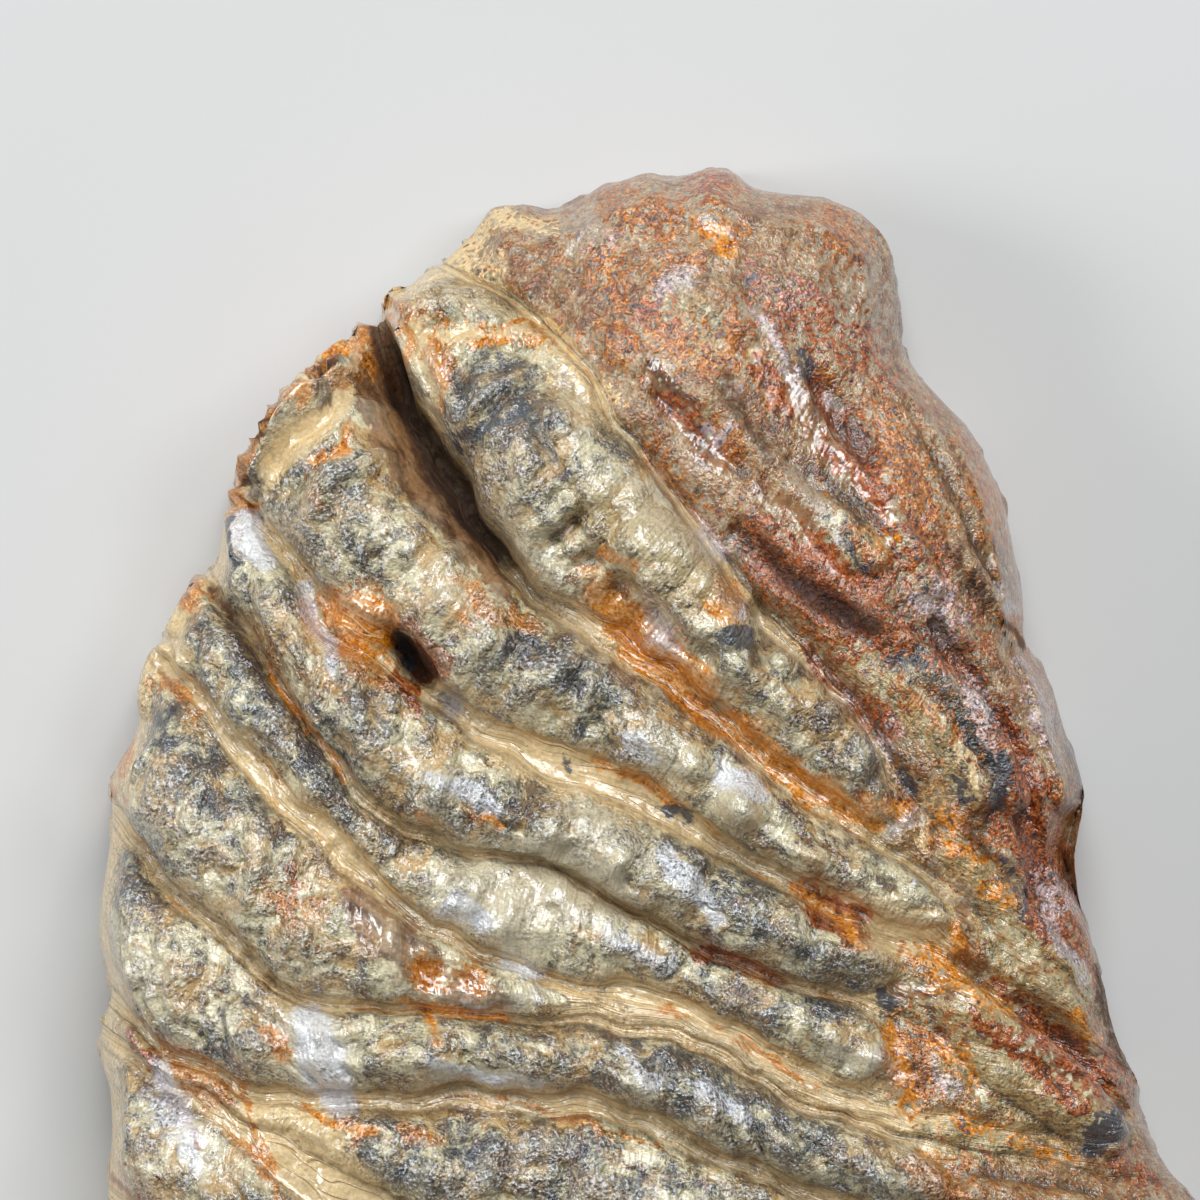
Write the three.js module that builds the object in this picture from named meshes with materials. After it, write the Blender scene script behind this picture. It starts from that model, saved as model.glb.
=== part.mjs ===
// A thick side slice of a woolly mammoth's cheek tooth, lying on its sawn face.
//
// The slice is one natural solid. Its upper side is the tooth's own cheek-side surface: a row of enamel
// plates that fan from the worn chewing edge (-X) to the roots (+X), with cement seams between them.
// Its wall follows the tooth's outline, and its underside is the flat saw cut at z = 0.
//
// Lengths are millimetres. Places are drawn on a sheet whose x runs right and y runs down. The last step
// carries them to the part's own frame, centred on the outline, with +Y up the sheet.
//
// The mesh follows the tooth's growth: each plate is a band of rows between two seams, so that every
// seam lies on a row of its own.
import * as THREE from "three";

// Driving sizes
const DOME_HEIGHT = 30; // saw cut to the top of the smooth dome that the plates stand on
const RIM_HEIGHT = 12.5; // saw cut to where the wall turns over into the dome
const DOME_ROUNDING = 2.1; // power of the dome's rounded shoulder
const REACH = { left: 30, right: 34, top: 34, bottom: 36 }; // how far in each shoulder reaches
const RIM_FADE = 5; // the plates' relief grows from the rim over this distance
const SLOPE_STEP = 0.5; // how far to each side the dome's slope is taken

// Mesh steps: columns along the plates, rows across the two end plates, and rings down the wall
const COLUMNS = 43;
const COLUMN_CROWDING = 0.75; // 0 for even columns, 1 for columns that crowd to both ends like a cosine
const END_ROWS = 8;
const WALL_RINGS = 2;
// Rows across a plate, as shares from one seam's edge to the next
const PLATE_ROWS = [0, 0.15, 0.38, 0.62, 0.85, 1];
const BEND_POWER = 6; // how fast a row's bend to the outline fades away from its ends
const LEAST_WIDTH = 0.01; // a plate's width where two seams meet

// The outline's four sides. The left one is the chewing edge. The top one runs over the end plate and down
// its root side, and the right one is the rest of the root side.
const TOP_EDGE = [
  [47.0, 23.5], [49.5, 20.5], [55.0, 20.8], [60.0, 18.7], [65.5, 17.0], [71.5, 16.5], [75.5, 18.5],
  [81.0, 19.3], [87.0, 21.8], [89.2, 24.8], [90.2, 31.5], [91.8, 37.0], [96.5, 42.3], [99.9, 48.3],
  [101.8, 55.0], [102.6, 61.5], [103.0, 64.9], [106.0, 70.5], [108.7, 78.6], [107.3, 83.5], [106.6, 86.0],
];
const RIGHT_EDGE = [
  [106.6, 86.0], [108.7, 92.0], [111.0, 100.0], [114.2, 109.0], [115.5, 114.0], [118.8, 120.0],
  [122.2, 128.0], [122.9, 135.0], [120.8, 146.0], [116.0, 154.6], [110.0, 161.0],
];
const LEFT_EDGE = [
  [47.0, 23.5], [43.5, 26.6], [39.7, 28.4], [38.0, 30.8], [36.4, 32.4], [33.2, 34.9], [30.2, 37.8],
  [27.2, 41.5], [23.9, 46.5], [22.2, 52.0], [21.3, 57.0], [18.2, 59.8], [15.0, 65.5], [13.6, 71.5],
  [11.2, 77.5], [10.9, 83.5], [9.8, 91.0], [10.8, 99.5], [9.9, 105.0], [10.8, 113.0], [10.4, 126.0],
  [12.0, 138.5], [16.4, 151.5], [22.0, 161.0], [27.5, 166.5],
];
const BOTTOM_EDGE = [
  [27.5, 166.5], [36.5, 172.0], [49.0, 175.4], [64.0, 176.5], [80.0, 175.2], [94.5, 170.9], [110.0, 161.0],
];

// Cement seams between plates. Each starts at a height y on the chewing edge and ends at one on the root
// side, and between them runs through points x, y, half width, depth below the dome.
const SEAMS = [
  {
    from: 26.2,
    to: 97,
    path: [
      [50.0, 29.0, 0.3, 0.3], [55.5, 33.5, 0.3, 0.5], [60.0, 39.5, 0.4, 0.8], [66.5, 48.5, 0.6, 1.0],
      [72.5, 56.5, 0.9, 1.2], [78.0, 63.0, 1.3, 1.2], [85.5, 70.5, 0.9, 0.8], [91.0, 79.5, 0.6, 0.5],
      [99.0, 87.5, 0.5, 0.3],
    ],
  },
  {
    from: 32.3,
    to: 103,
    path: [
      [41.5, 40.0, 1.0, 7.0], [46.5, 50.0, 1.3, 8.0], [51.0, 57.5, 0.9, 3.5], [61.0, 63.8, 1.2, 0.8],
      [70.0, 70.5, 1.2, 0.8], [80.0, 78.5, 1.4, 0.7], [88.5, 84.0, 0.7, 0.4], [100.0, 93.0, 0.5, 0.2],
    ],
  },
  {
    from: 46.6,
    to: 107.5,
    path: [
      [27.2, 53.5, 0.3, 0.4], [33.5, 61.5, 1.5, 1.0], [38.5, 65.0, 1.6, 1.4], [46.0, 71.0, 1.0, 0.8],
      [55.0, 75.8, 1.6, 0.3], [65.0, 79.8, 1.5, 0.3], [75.0, 86.3, 0.9, 0.5], [84.0, 90.8, 1.4, 0.5],
      [94.0, 95.6, 0.7, 0.3],
    ],
  },
  {
    from: 57.5,
    to: 111.5,
    path: [
      [26.3, 65.8, 0.6, 1.0], [32.0, 74.5, 0.5, 0.5], [38.5, 81.4, 0.9, 0.4], [45.0, 84.3, 0.4, 0.5],
      [55.0, 86.3, 0.3, 0.5], [65.0, 91.6, 0.4, 0.5], [76.0, 96.9, 0.8, 0.5], [86.0, 100.0, 0.5, 0.4],
      [99.0, 105.0, 0.5, 0.2],
    ],
  },
  {
    from: 64.2,
    to: 115,
    path: [
      [20.5, 69.8, 0.8, 0.2], [30.0, 80.6, 1.3, 0.1], [38.8, 88.8, 1.1, 0.3], [47.5, 95.0, 0.8, 0.5],
      [56.5, 97.8, 0.6, 0.5], [65.5, 99.4, 1.0, 0.2], [75.0, 103.8, 1.0, 0.2], [85.0, 108.4, 0.7, 0.3],
      [96.5, 111.8, 0.5, 0.2],
    ],
  },
  {
    from: 81.0,
    to: 118.5,
    path: [
      [16.5, 87.2, 0.9, 0.2], [23.5, 93.6, 0.8, 0.3], [30.5, 99.6, 0.7, 0.4], [38.5, 100.6, 0.4, 0.6],
      [48.0, 101.2, 0.4, 0.6], [57.5, 101.4, 0.5, 0.5], [65.5, 102.6, 0.9, 0.2], [75.0, 106.8, 0.9, 0.2],
      [85.0, 111.4, 0.7, 0.3], [96.5, 114.6, 0.5, 0.2],
    ],
  },
  {
    from: 100.0,
    to: 126.5,
    path: [
      [18.5, 105.4, 0.8, 0.3], [29.0, 109.4, 0.8, 0.4], [40.0, 109.6, 1.0, 0.3], [52.0, 109.2, 1.2, 0.2],
      [64.0, 111.2, 1.2, 0.2], [76.0, 116.8, 1.0, 0.2], [88.0, 120.8, 0.8, 0.2], [103.0, 124.4, 0.6, 0.2],
    ],
  },
  {
    from: 103.2,
    to: 134,
    path: [
      [18.5, 108.6, 0.8, 0.2], [27.0, 114.4, 1.8, -0.4], [34.0, 119.0, 2.4, -0.6], [42.0, 122.6, 1.8, -0.2],
      [52.0, 124.4, 1.0, 0.3], [68.0, 126.8, 0.9, 0.3], [88.0, 130.0, 0.8, 0.2], [104.0, 132.4, 0.6, 0.2],
    ],
  },
  {
    from: 119.0,
    to: 141.5,
    path: [
      [23.0, 127.0, 0.9, 0.3], [42.0, 133.4, 0.9, 0.3], [68.0, 136.6, 0.9, 0.3], [95.0, 139.4, 0.7, 0.2],
    ],
  },
  {
    from: 133.0,
    to: 148,
    path: [
      [31.0, 142.0, 0.9, 0.3], [62.0, 146.0, 0.9, 0.3], [95.0, 147.4, 0.7, 0.2],
    ],
  },
  {
    from: 146.0,
    to: 153.5,
    path: [
      [36.0, 153.6, 0.9, 0.3], [66.0, 155.8, 0.9, 0.3], [95.0, 154.8, 0.7, 0.2],
    ],
  },
  {
    from: 157.5,
    to: 158.2,
    path: [
      [43.0, 163.8, 0.8, 0.3], [70.0, 165.0, 0.8, 0.3], [94.0, 161.8, 0.6, 0.2],
    ],
  },
];

// Each plate lies between two seams: how far its crest stands over the dome, and the x where it ends.
const PLATES = [
  { rise: 3.6, end: 89.0 },
  { rise: 3.4, end: 94.0 },
  { rise: 3.2, end: 89.0 },
  { rise: 2.6, end: 88.5 },
  { rise: 2.7, end: 57.0 },
  { rise: 2.8, end: 94.5 },
  { rise: 2.4, end: 95.0 },
  { rise: 2.7, end: 96.0 },
  { rise: 2.8, end: 97.0 },
  { rise: 2.8, end: 98.0 },
  { rise: 2.6, end: 98.0 },
];
const TIP_LENGTH = 5; // a plate rounds off over this length before its end
const ROOT_SWELL = 0.6; // how far a plate's line still stands out past its tip
const FULL_WIDTH = 8; // a plate narrower than this stands lower in proportion
const END_PLATE = { rise: 2.2, shoulder: 8 }; // the broad end plates past the first and last seams
// Plates swell and narrow along their crests, each one out of step with the last by a turn in radians
const SWELLING = { share: 0.11, length: 9.5, turn: 2.1 };

// Root fingers and strands: path x, y, half width, and how far each stands out.
const FINGERS = [
  { path: [[57.0, 43.0, 3.6], [66.0, 53.5, 4.4], [73.0, 62.3, 3.8]], rise: 1.0 },
  { path: [[70.0, 40.5, 1.8], [77.0, 48.5, 2.2], [84.0, 56.0, 1.8]], rise: 1.2 },
  { path: [[75.5, 32.5, 1.6], [81.0, 43.0, 1.6], [87.5, 50.5, 1.5]], rise: 1.2 },
  { path: [[86.0, 61.0, 2.0], [95.5, 71.5, 2.4], [100.0, 79.0, 2.0]], rise: 2.4 },
  { path: [[89.0, 68.5, 1.7], [93.5, 74.0, 1.9], [97.2, 79.3, 1.8]], rise: 1.8 },
  { path: [[95.0, 42.0, 2.2], [99.5, 51.0, 2.8], [101.0, 62.0, 2.4]], rise: 1.4 },
  { path: [[95.5, 85.5, 2.6], [99.5, 88.0, 2.8], [101.0, 91.0, 2.4]], rise: 1.5 },
  { path: [[99.5, 90.0, 2.2], [104.5, 96.5, 2.6], [109.0, 103.0, 2.2]], rise: 1.9 },
  { path: [[95.5, 100.5, 3.4], [103.0, 107.0, 3.4], [110.0, 112.6, 2.8]], rise: 2.6 },
  { path: [[97.0, 119.5, 3.0], [105.0, 121.5, 3.2], [114.0, 124.0, 2.8]], rise: 2.2 },
  { path: [[98.0, 127.5, 3.2], [107.0, 129.0, 3.2], [117.0, 131.0, 2.8]], rise: 2.2 },
  { path: [[99.0, 136.0, 3.0], [108.0, 137.0, 3.2], [117.5, 138.0, 2.8]], rise: 2.1 },
  { path: [[100.0, 143.8, 2.6], [108.0, 144.6, 2.8], [115.5, 145.2, 2.4]], rise: 1.9 },
];

// Pits: centre, half length, half width, turn in degrees, depth.
const PITS = [
  { centre: [40.8, 65.2], long: 3.4, wide: 2.5, turn: 35, depth: 6.0 },
  { centre: [44.2, 69.8], long: 2.4, wide: 1.5, turn: 15, depth: 1.4 },
  { centre: [83.5, 42.5], long: 6.5, wide: 2.2, turn: 52, depth: 1.8 },
];

const mix = (from, to, share) => from + (to - from) * share;
const limit = (value, low, high) => Math.min(Math.max(value, low), high);

// A smooth line through rows of numbers, of which the first two are x and y. Its samples are evenly spaced.
function smoothLine(rows, count = 240) {
  const places = rows.map(([x, y]) => new THREE.Vector3(x, y, 0));
  const curve = new THREE.CatmullRomCurve3(places, false, "centripetal");
  const lengths = [0];
  for (let i = 1; i < rows.length; i++) {
    const step = Math.hypot(rows[i][0] - rows[i - 1][0], rows[i][1] - rows[i - 1][1]);
    lengths.push(lengths[i - 1] + step);
  }
  const sizesAt = (share) => {
    const want = share * lengths.at(-1);
    let i = 1;
    while (i < rows.length - 1 && lengths[i] < want) i++;
    const t = (want - lengths[i - 1]) / (lengths[i] - lengths[i - 1]);
    return rows[i].slice(2).map((value, k) => mix(rows[i - 1][k + 2], value, t));
  };
  return curve.getSpacedPoints(count).map((p, i) => [p.x, p.y, ...sizesAt(i / count)]);
}

// The row of numbers at a share from 0 to 1 of a sampled line.
function lineAt(line, share) {
  const place = limit(share, 0, 1) * (line.length - 1);
  const i = Math.min(Math.floor(place), line.length - 2);
  return line[i].map((value, k) => mix(value, line[i + 1][k], place - i));
}

// Where a line that runs down the sheet passes a height y, as a share from 0 to 1.
function shareAtHeight(line, y) {
  const i = line.findIndex((point) => point[1] >= y);
  return (i - 1 + (y - line[i - 1][1]) / (line[i][1] - line[i - 1][1])) / (line.length - 1);
}

// How far a point is from a line, and the line's other numbers at the nearest place.
function besideLine(x, y, line) {
  let best = { distance: Infinity };
  for (let i = 0; i + 1 < line.length; i++) {
    const [p, q] = [line[i], line[i + 1]];
    const [dx, dy] = [q[0] - p[0], q[1] - p[1]];
    const t = limit(((x - p[0]) * dx + (y - p[1]) * dy) / (dx * dx + dy * dy), 0, 1);
    const distance = Math.hypot(x - p[0] - t * dx, y - p[1] - t * dy);
    if (distance < best.distance) best = { distance, sizes: p.slice(2).map((v, k) => mix(v, q[k + 2], t)) };
  }
  return best;
}

const left = smoothLine(LEFT_EDGE);
const right = smoothLine(RIGHT_EDGE);
const top = smoothLine(TOP_EDGE);
const bottom = smoothLine(BOTTOM_EDGE);

// The dome has four shoulders. The top one ends at the crown's corner, where the root side's begins.
const CROWN_CORNER = 9;
const SHOULDER_SAMPLES = 80;
const shoulders = {
  left: smoothLine(LEFT_EDGE, SHOULDER_SAMPLES),
  right: smoothLine([...TOP_EDGE.slice(CROWN_CORNER), ...RIGHT_EDGE.slice(1)], SHOULDER_SAMPLES),
  top: smoothLine(TOP_EDGE.slice(0, CROWN_CORNER + 1), SHOULDER_SAMPLES),
  bottom: smoothLine(BOTTOM_EDGE, SHOULDER_SAMPLES),
};

// A shoulder rises from 0 at the rim to 1 at its reach, like a quarter of a superellipse.
function shoulder(distance, reach) {
  const rest = 1 - Math.min(distance / reach, 1);
  return Math.pow(1 - Math.pow(rest, DOME_ROUNDING), 1 / DOME_ROUNDING);
}

// The dome's height over the saw cut, and the distance in from the rim.
function domeAt(x, y) {
  let share = 1;
  let inward = Infinity;
  for (const [name, line] of Object.entries(shoulders)) {
    const { distance } = besideLine(x, y, line);
    share *= shoulder(distance, REACH[name]);
    inward = Math.min(inward, distance);
  }
  return { height: mix(RIM_HEIGHT, DOME_HEIGHT, share), inward };
}

// The curves between bands: the top side, every seam, and the bottom side, each with half width and depth.
function bandCurves() {
  const plain = (line) => line.map(([x, y]) => [x, y, 0, 0]);
  const seams = SEAMS.map(({ from, to, path }) => {
    const [start, end] = [shareAtHeight(left, from), shareAtHeight(right, to)];
    const first = [...lineAt(left, start), path[0][2], path[0][3]];
    const last = [...lineAt(right, end), path.at(-1)[2], path.at(-1)[3]];
    return { start, end, line: smoothLine([first, ...path, last]) };
  });
  return [{ start: 0, end: 0, line: plain(top) }, ...seams, { start: 1, end: 1, line: plain(bottom) }];
}

// The height of a plate over the dome at a share q from its upper seam's edge to its lower one's.
function plateHeight(k, q, x, width, [floorUp, floorDown]) {
  const end = k < 0 ? 1 - q : q;
  if (k < 0 || k >= PLATES.length) {
    const out = Math.min((end * width) / END_PLATE.shoulder, 1);
    const floor = k < 0 ? floorDown : floorUp;
    return mix(floor, END_PLATE.rise, Math.sqrt(out * (2 - out)));
  }
  const tip = limit((PLATES[k].end - x) / TIP_LENGTH, 0, 1);
  const swell = 1 + SWELLING.share * Math.sin((2 * Math.PI * x) / SWELLING.length + SWELLING.turn * k);
  const crest = PLATES[k].rise * swell * Math.min(width / FULL_WIDTH, 1) * Math.sqrt(tip * (2 - tip));
  const round = Math.sqrt(4 * q * (1 - q));
  const body = mix(mix(floorUp, floorDown, q), crest, crest > 0 ? round : 0);
  return body + ROOT_SWELL * round * (1 - tip);
}

// Fingers add a half-round swelling along their path, and pits take one away.
function fingerHeight(x, y) {
  const lifts = FINGERS.map(({ path, rise }) => {
    const { distance, sizes } = besideLine(x, y, path);
    const out = Math.min(distance / sizes[0], 1);
    return rise * Math.sqrt(1 - out * out);
  });
  return Math.max(0, ...lifts);
}

function pitDepth(x, y) {
  const drops = PITS.map(({ centre, long, wide, turn, depth }) => {
    const angle = THREE.MathUtils.degToRad(turn);
    const [dx, dy] = [x - centre[0], y - centre[1]];
    const along = (dx * Math.cos(angle) + dy * Math.sin(angle)) / long;
    const across = (dy * Math.cos(angle) - dx * Math.sin(angle)) / wide;
    return depth * Math.max(0, 1 - along * along - across * across);
  });
  return Math.max(0, ...drops);
}

// One row of the mesh: a share q across a band, or the seam's own centre line where q is null.
// The band's ends are bent to the outline there, which fades out along the first and last of the row.
function bandRow(curves, k, q, columns) {
  const [up, down] = [curves[k], curves[k + 1]];
  return columns.map((a) => {
    const [p, r] = [lineAt(up.line, a), lineAt(down.line, a)];
    const width = Math.hypot(r[0] - p[0], r[1] - p[1]);
    const body = Math.max(width - p[2] - r[2], LEAST_WIDTH);
    const share = q === null ? 0 : (p[2] + q * body) / width;
    const bend = (side, from, to, at) => {
      const [ends, edge] = [[lineAt(up.line, at), lineAt(down.line, at)], lineAt(side, mix(from, to, share))];
      return [0, 1].map((axis) => edge[axis] - mix(ends[0][axis], ends[1][axis], share));
    };
    const atLeft = bend(left, up.start, down.start, 0);
    const atRight = bend(right, up.end, down.end, 1);
    const [nearLeft, nearRight] = [Math.pow(1 - a, BEND_POWER), Math.pow(a, BEND_POWER)];
    const [x, y] = [0, 1].map(
      (axis) => mix(p[axis], r[axis], share) + nearLeft * atLeft[axis] + nearRight * atRight[axis],
    );
    const lift = q === null ? -p[3] : plateHeight(k - 1, q, x, body, [-p[3], -r[3]]);
    return { x, y, lift: lift + fingerHeight(x, y) - pitDepth(x, y) };
  });
}

// The shares of a band's rows. The first and last bands have more rows, closer together near the rim.
function bandShares(k, bands) {
  const shares = [];
  for (let i = 0; i <= END_ROWS; i++) shares.push(Math.sin((i / END_ROWS) * (Math.PI / 2)));
  if (k === 0) return shares.map((share) => 1 - share).reverse();
  return k === bands - 1 ? shares : PLATE_ROWS;
}

// The natural surface as a grid of places, top row first.
function surfaceGrid() {
  const columns = [];
  for (let i = 0; i <= COLUMNS; i++) {
    const t = i / COLUMNS;
    columns.push(mix(t, (1 - Math.cos(Math.PI * t)) / 2, COLUMN_CROWDING));
  }
  const curves = bandCurves();
  const rows = [];
  for (let k = 0; k + 1 < curves.length; k++) {
    if (k > 0) rows.push(bandRow(curves, k, null, columns));
    for (const q of bandShares(k, curves.length - 1)) rows.push(bandRow(curves, k, q, columns));
  }
  return rows;
}

// The natural surface stands over the dome along the dome's own normal. The wall and saw cut close it below.
function molarGeometry() {
  const grid = surfaceGrid();
  const [rows, columns] = [grid.length, grid[0].length];
  const positions = [];
  const add = (x, y, z) => positions.push(x, y, z) / 3 - 1;
  const rise = (x, y, dx, dy) => domeAt(x + dx, y + dy).height - domeAt(x - dx, y - dy).height;
  const front = grid.map((row) =>
    row.map(({ x, y, lift }) => {
      const { height, inward } = domeAt(x, y);
      const [riseX, riseY] = [rise(x, y, SLOPE_STEP, 0), rise(x, y, 0, SLOPE_STEP)];
      const normal = new THREE.Vector3(-riseX, -riseY, 2 * SLOPE_STEP).normalize();
      const out = lift * Math.min(inward / RIM_FADE, 1);
      return add(x + out * normal.x, -(y + out * normal.y), height + out * normal.z);
    }),
  );

  // The rim, once round: along the top, down the right, back along the bottom, and up the left.
  const rim = [];
  for (let i = 0; i < columns - 1; i++) rim.push(front[0][i]);
  for (let j = 0; j < rows - 1; j++) rim.push(front[j][columns - 1]);
  for (let i = columns - 1; i > 0; i--) rim.push(front[rows - 1][i]);
  for (let j = rows - 1; j > 0; j--) rim.push(front[j][0]);

  const faces = [];
  const quad = (p, q, r, s) => faces.push(p, q, r, p, r, s);
  for (let j = 0; j + 1 < rows; j++) {
    for (let i = 0; i + 1 < columns; i++) {
      quad(front[j][i], front[j + 1][i], front[j + 1][i + 1], front[j][i + 1]);
    }
  }
  let ring = rim;
  for (let level = 1; level <= WALL_RINGS; level++) {
    const share = 1 - level / WALL_RINGS;
    const next = rim.map((v) => add(positions[v * 3], positions[v * 3 + 1], positions[v * 3 + 2] * share));
    for (let k = 0; k < ring.length; k++) {
      const after = (k + 1) % ring.length;
      quad(ring[k], ring[after], next[after], next[k]);
    }
    ring = next;
  }
  const cut = ring.map((v) => new THREE.Vector2(positions[v * 3], positions[v * 3 + 1]));
  for (const [p, q, r] of THREE.ShapeUtils.triangulateShape(cut, [])) faces.push(ring[p], ring[r], ring[q]);

  const geometry = new THREE.BufferGeometry();
  geometry.setAttribute("position", new THREE.Float32BufferAttribute(positions, 3));
  geometry.setIndex(faces);
  geometry.computeBoundingBox();
  const middle = geometry.boundingBox.getCenter(new THREE.Vector3());
  geometry.translate(-middle.x, -middle.y, 0);
  geometry.computeVertexNormals();
  return geometry;
}

const fossilEnamel = new THREE.MeshStandardMaterial({ color: 0x8c7f66, roughness: 0.45, metalness: 0 });
const molar = new THREE.Mesh(molarGeometry(), fossilEnamel);
molar.name = "molar";

const group = new THREE.Group();
group.add(molar);
export default group;
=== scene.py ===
"""A thick side slice of a woolly mammoth's cheek tooth, lying on its sawn face.

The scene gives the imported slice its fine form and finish: fanned enamel plates with growth swellings,
cement seams, a crevice and pits, blunt plate tips and root strands, a worn chewing edge, and a sawn
underside that shows the plates cut through.

The form is drawn on a sheet in millimetres, x to the right and y down, as the tooth is looked down on.
onto_part() carries sheet places to the part's frame, and the last step turns millimetres into metres.
"""

import logging
from dataclasses import dataclass, field
from enum import Enum

import bpy
import numpy as np
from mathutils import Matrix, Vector
from mathutils.geometry import delaunay_2d_cdt

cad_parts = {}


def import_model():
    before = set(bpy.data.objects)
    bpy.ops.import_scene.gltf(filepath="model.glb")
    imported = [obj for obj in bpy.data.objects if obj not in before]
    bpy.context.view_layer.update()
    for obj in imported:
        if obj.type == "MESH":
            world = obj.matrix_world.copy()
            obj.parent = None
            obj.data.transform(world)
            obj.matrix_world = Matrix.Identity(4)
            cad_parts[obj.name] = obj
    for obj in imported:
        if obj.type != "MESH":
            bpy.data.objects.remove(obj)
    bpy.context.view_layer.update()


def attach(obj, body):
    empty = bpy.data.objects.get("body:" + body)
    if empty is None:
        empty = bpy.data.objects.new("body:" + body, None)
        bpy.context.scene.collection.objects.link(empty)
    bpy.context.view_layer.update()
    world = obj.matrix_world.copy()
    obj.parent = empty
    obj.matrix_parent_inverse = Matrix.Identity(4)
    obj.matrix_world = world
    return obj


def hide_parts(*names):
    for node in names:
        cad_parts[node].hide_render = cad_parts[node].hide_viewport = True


LOG = logging.getLogger("molar_slice")

MM = 0.001
PART = "molar"
SHEET_CENTRE = np.array([66.408, 96.465])

Points = np.ndarray
Grid = np.ndarray
Rows = tuple[tuple[float, ...], ...]
Colour = tuple[float, float, float]
Stops = tuple[tuple[float, Colour], ...]


def mix(low: Grid, high: Grid, share: Grid) -> Grid:
    """Returns the value a share of the way from low to high."""
    return low + (high - low) * share


def smooth_step(low: float, high: float, value: Grid) -> Grid:
    """Returns 0 below low, 1 above high, and the smooth cubic 3t^2 - 2t^3 between them."""
    t = np.clip((value - low) / (high - low), 0.0, 1.0)
    return t * t * (3.0 - 2.0 * t)


def onto_part(x: Grid, y: Grid, z: Grid) -> Points:
    """Carries sheet places and heights to the part's frame, still in millimetres."""
    return np.stack([x - SHEET_CENTRE[0], SHEET_CENTRE[1] - y, z], axis=-1)


# Traced sides of the tooth: the top side runs over the end plate and down its root side


TOP_EDGE = (
    (47.0, 23.5), (48.2, 21.8), (49.5, 20.5), (52.0, 20.3), (55.0, 20.8), (58.0, 19.8), (60.0, 18.6),
    (62.5, 17.7), (65.0, 17.0), (67.2, 17.5), (69.2, 17.1), (71.3, 16.6), (73.5, 17.0), (75.2, 18.4),
    (78.5, 19.1), (82.0, 19.5), (85.0, 20.5), (87.4, 22.2), (88.6, 23.6), (89.3, 26.0), (89.9, 30.0),
    (90.3, 34.5), (91.6, 36.8), (94.0, 39.5), (96.5, 42.3), (98.8, 46.0), (100.6, 50.5), (101.8, 56.0),
    (102.6, 61.0), (102.6, 63.9), (103.2, 65.2), (105.2, 68.2), (106.7, 73.0), (108.2, 77.2), (108.6, 80.0),
    (107.4, 82.4), (107.0, 84.6), (106.6, 86.0),
)
RIGHT_EDGE = (
    (106.6, 86.0), (107.8, 89.5), (109.2, 93.5), (110.3, 97.5), (111.2, 101.5), (112.4, 105.3),
    (114.0, 108.4), (114.2, 111.0), (115.6, 114.6), (117.4, 117.6), (119.5, 120.2), (122.2, 128.0),
    (122.9, 135.0), (120.8, 146.0), (116.0, 154.6), (110.0, 161.0),
)
LEFT_EDGE = (
    (47.0, 23.5), (45.2, 25.1), (43.9, 26.4), (42.2, 27.2), (41.0, 28.4), (39.2, 28.6), (38.2, 29.9),
    (38.4, 31.8), (37.7, 32.7), (36.3, 32.1), (35.2, 33.0), (34.6, 34.6), (32.6, 34.7), (31.4, 36.0),
    (30.9, 37.4), (29.6, 38.0), (28.5, 38.7), (27.8, 40.1), (27.0, 41.2), (26.4, 42.9), (25.1, 44.4),
    (24.3, 45.8), (23.6, 46.9), (23.3, 49.0), (22.3, 51.6), (21.8, 54.6), (21.5, 56.6), (20.4, 57.3),
    (18.8, 58.4), (18.0, 60.2), (16.6, 62.8), (15.2, 65.2), (14.0, 67.6), (13.9, 70.6), (13.2, 73.8),
    (11.6, 76.4), (10.8, 79.0), (11.0, 82.2), (10.4, 86.4), (9.8, 90.4), (9.7, 94.2), (10.5, 97.4),
    (10.9, 100.0), (10.0, 102.3), (9.9, 106.2), (10.7, 109.2), (10.9, 114.0), (10.5, 119.5), (10.5, 126.5),
    (11.2, 133.0), (13.0, 141.5), (16.2, 150.5), (19.6, 157.2), (23.6, 163.0), (27.5, 166.5),
)
BOTTOM_EDGE = (
    (27.5, 166.5), (36.5, 172.0), (49.0, 175.4), (64.0, 176.5), (80.0, 175.2), (94.5, 170.9), (110.0, 161.0),
)
CROWN_CORNER = 18


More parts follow.
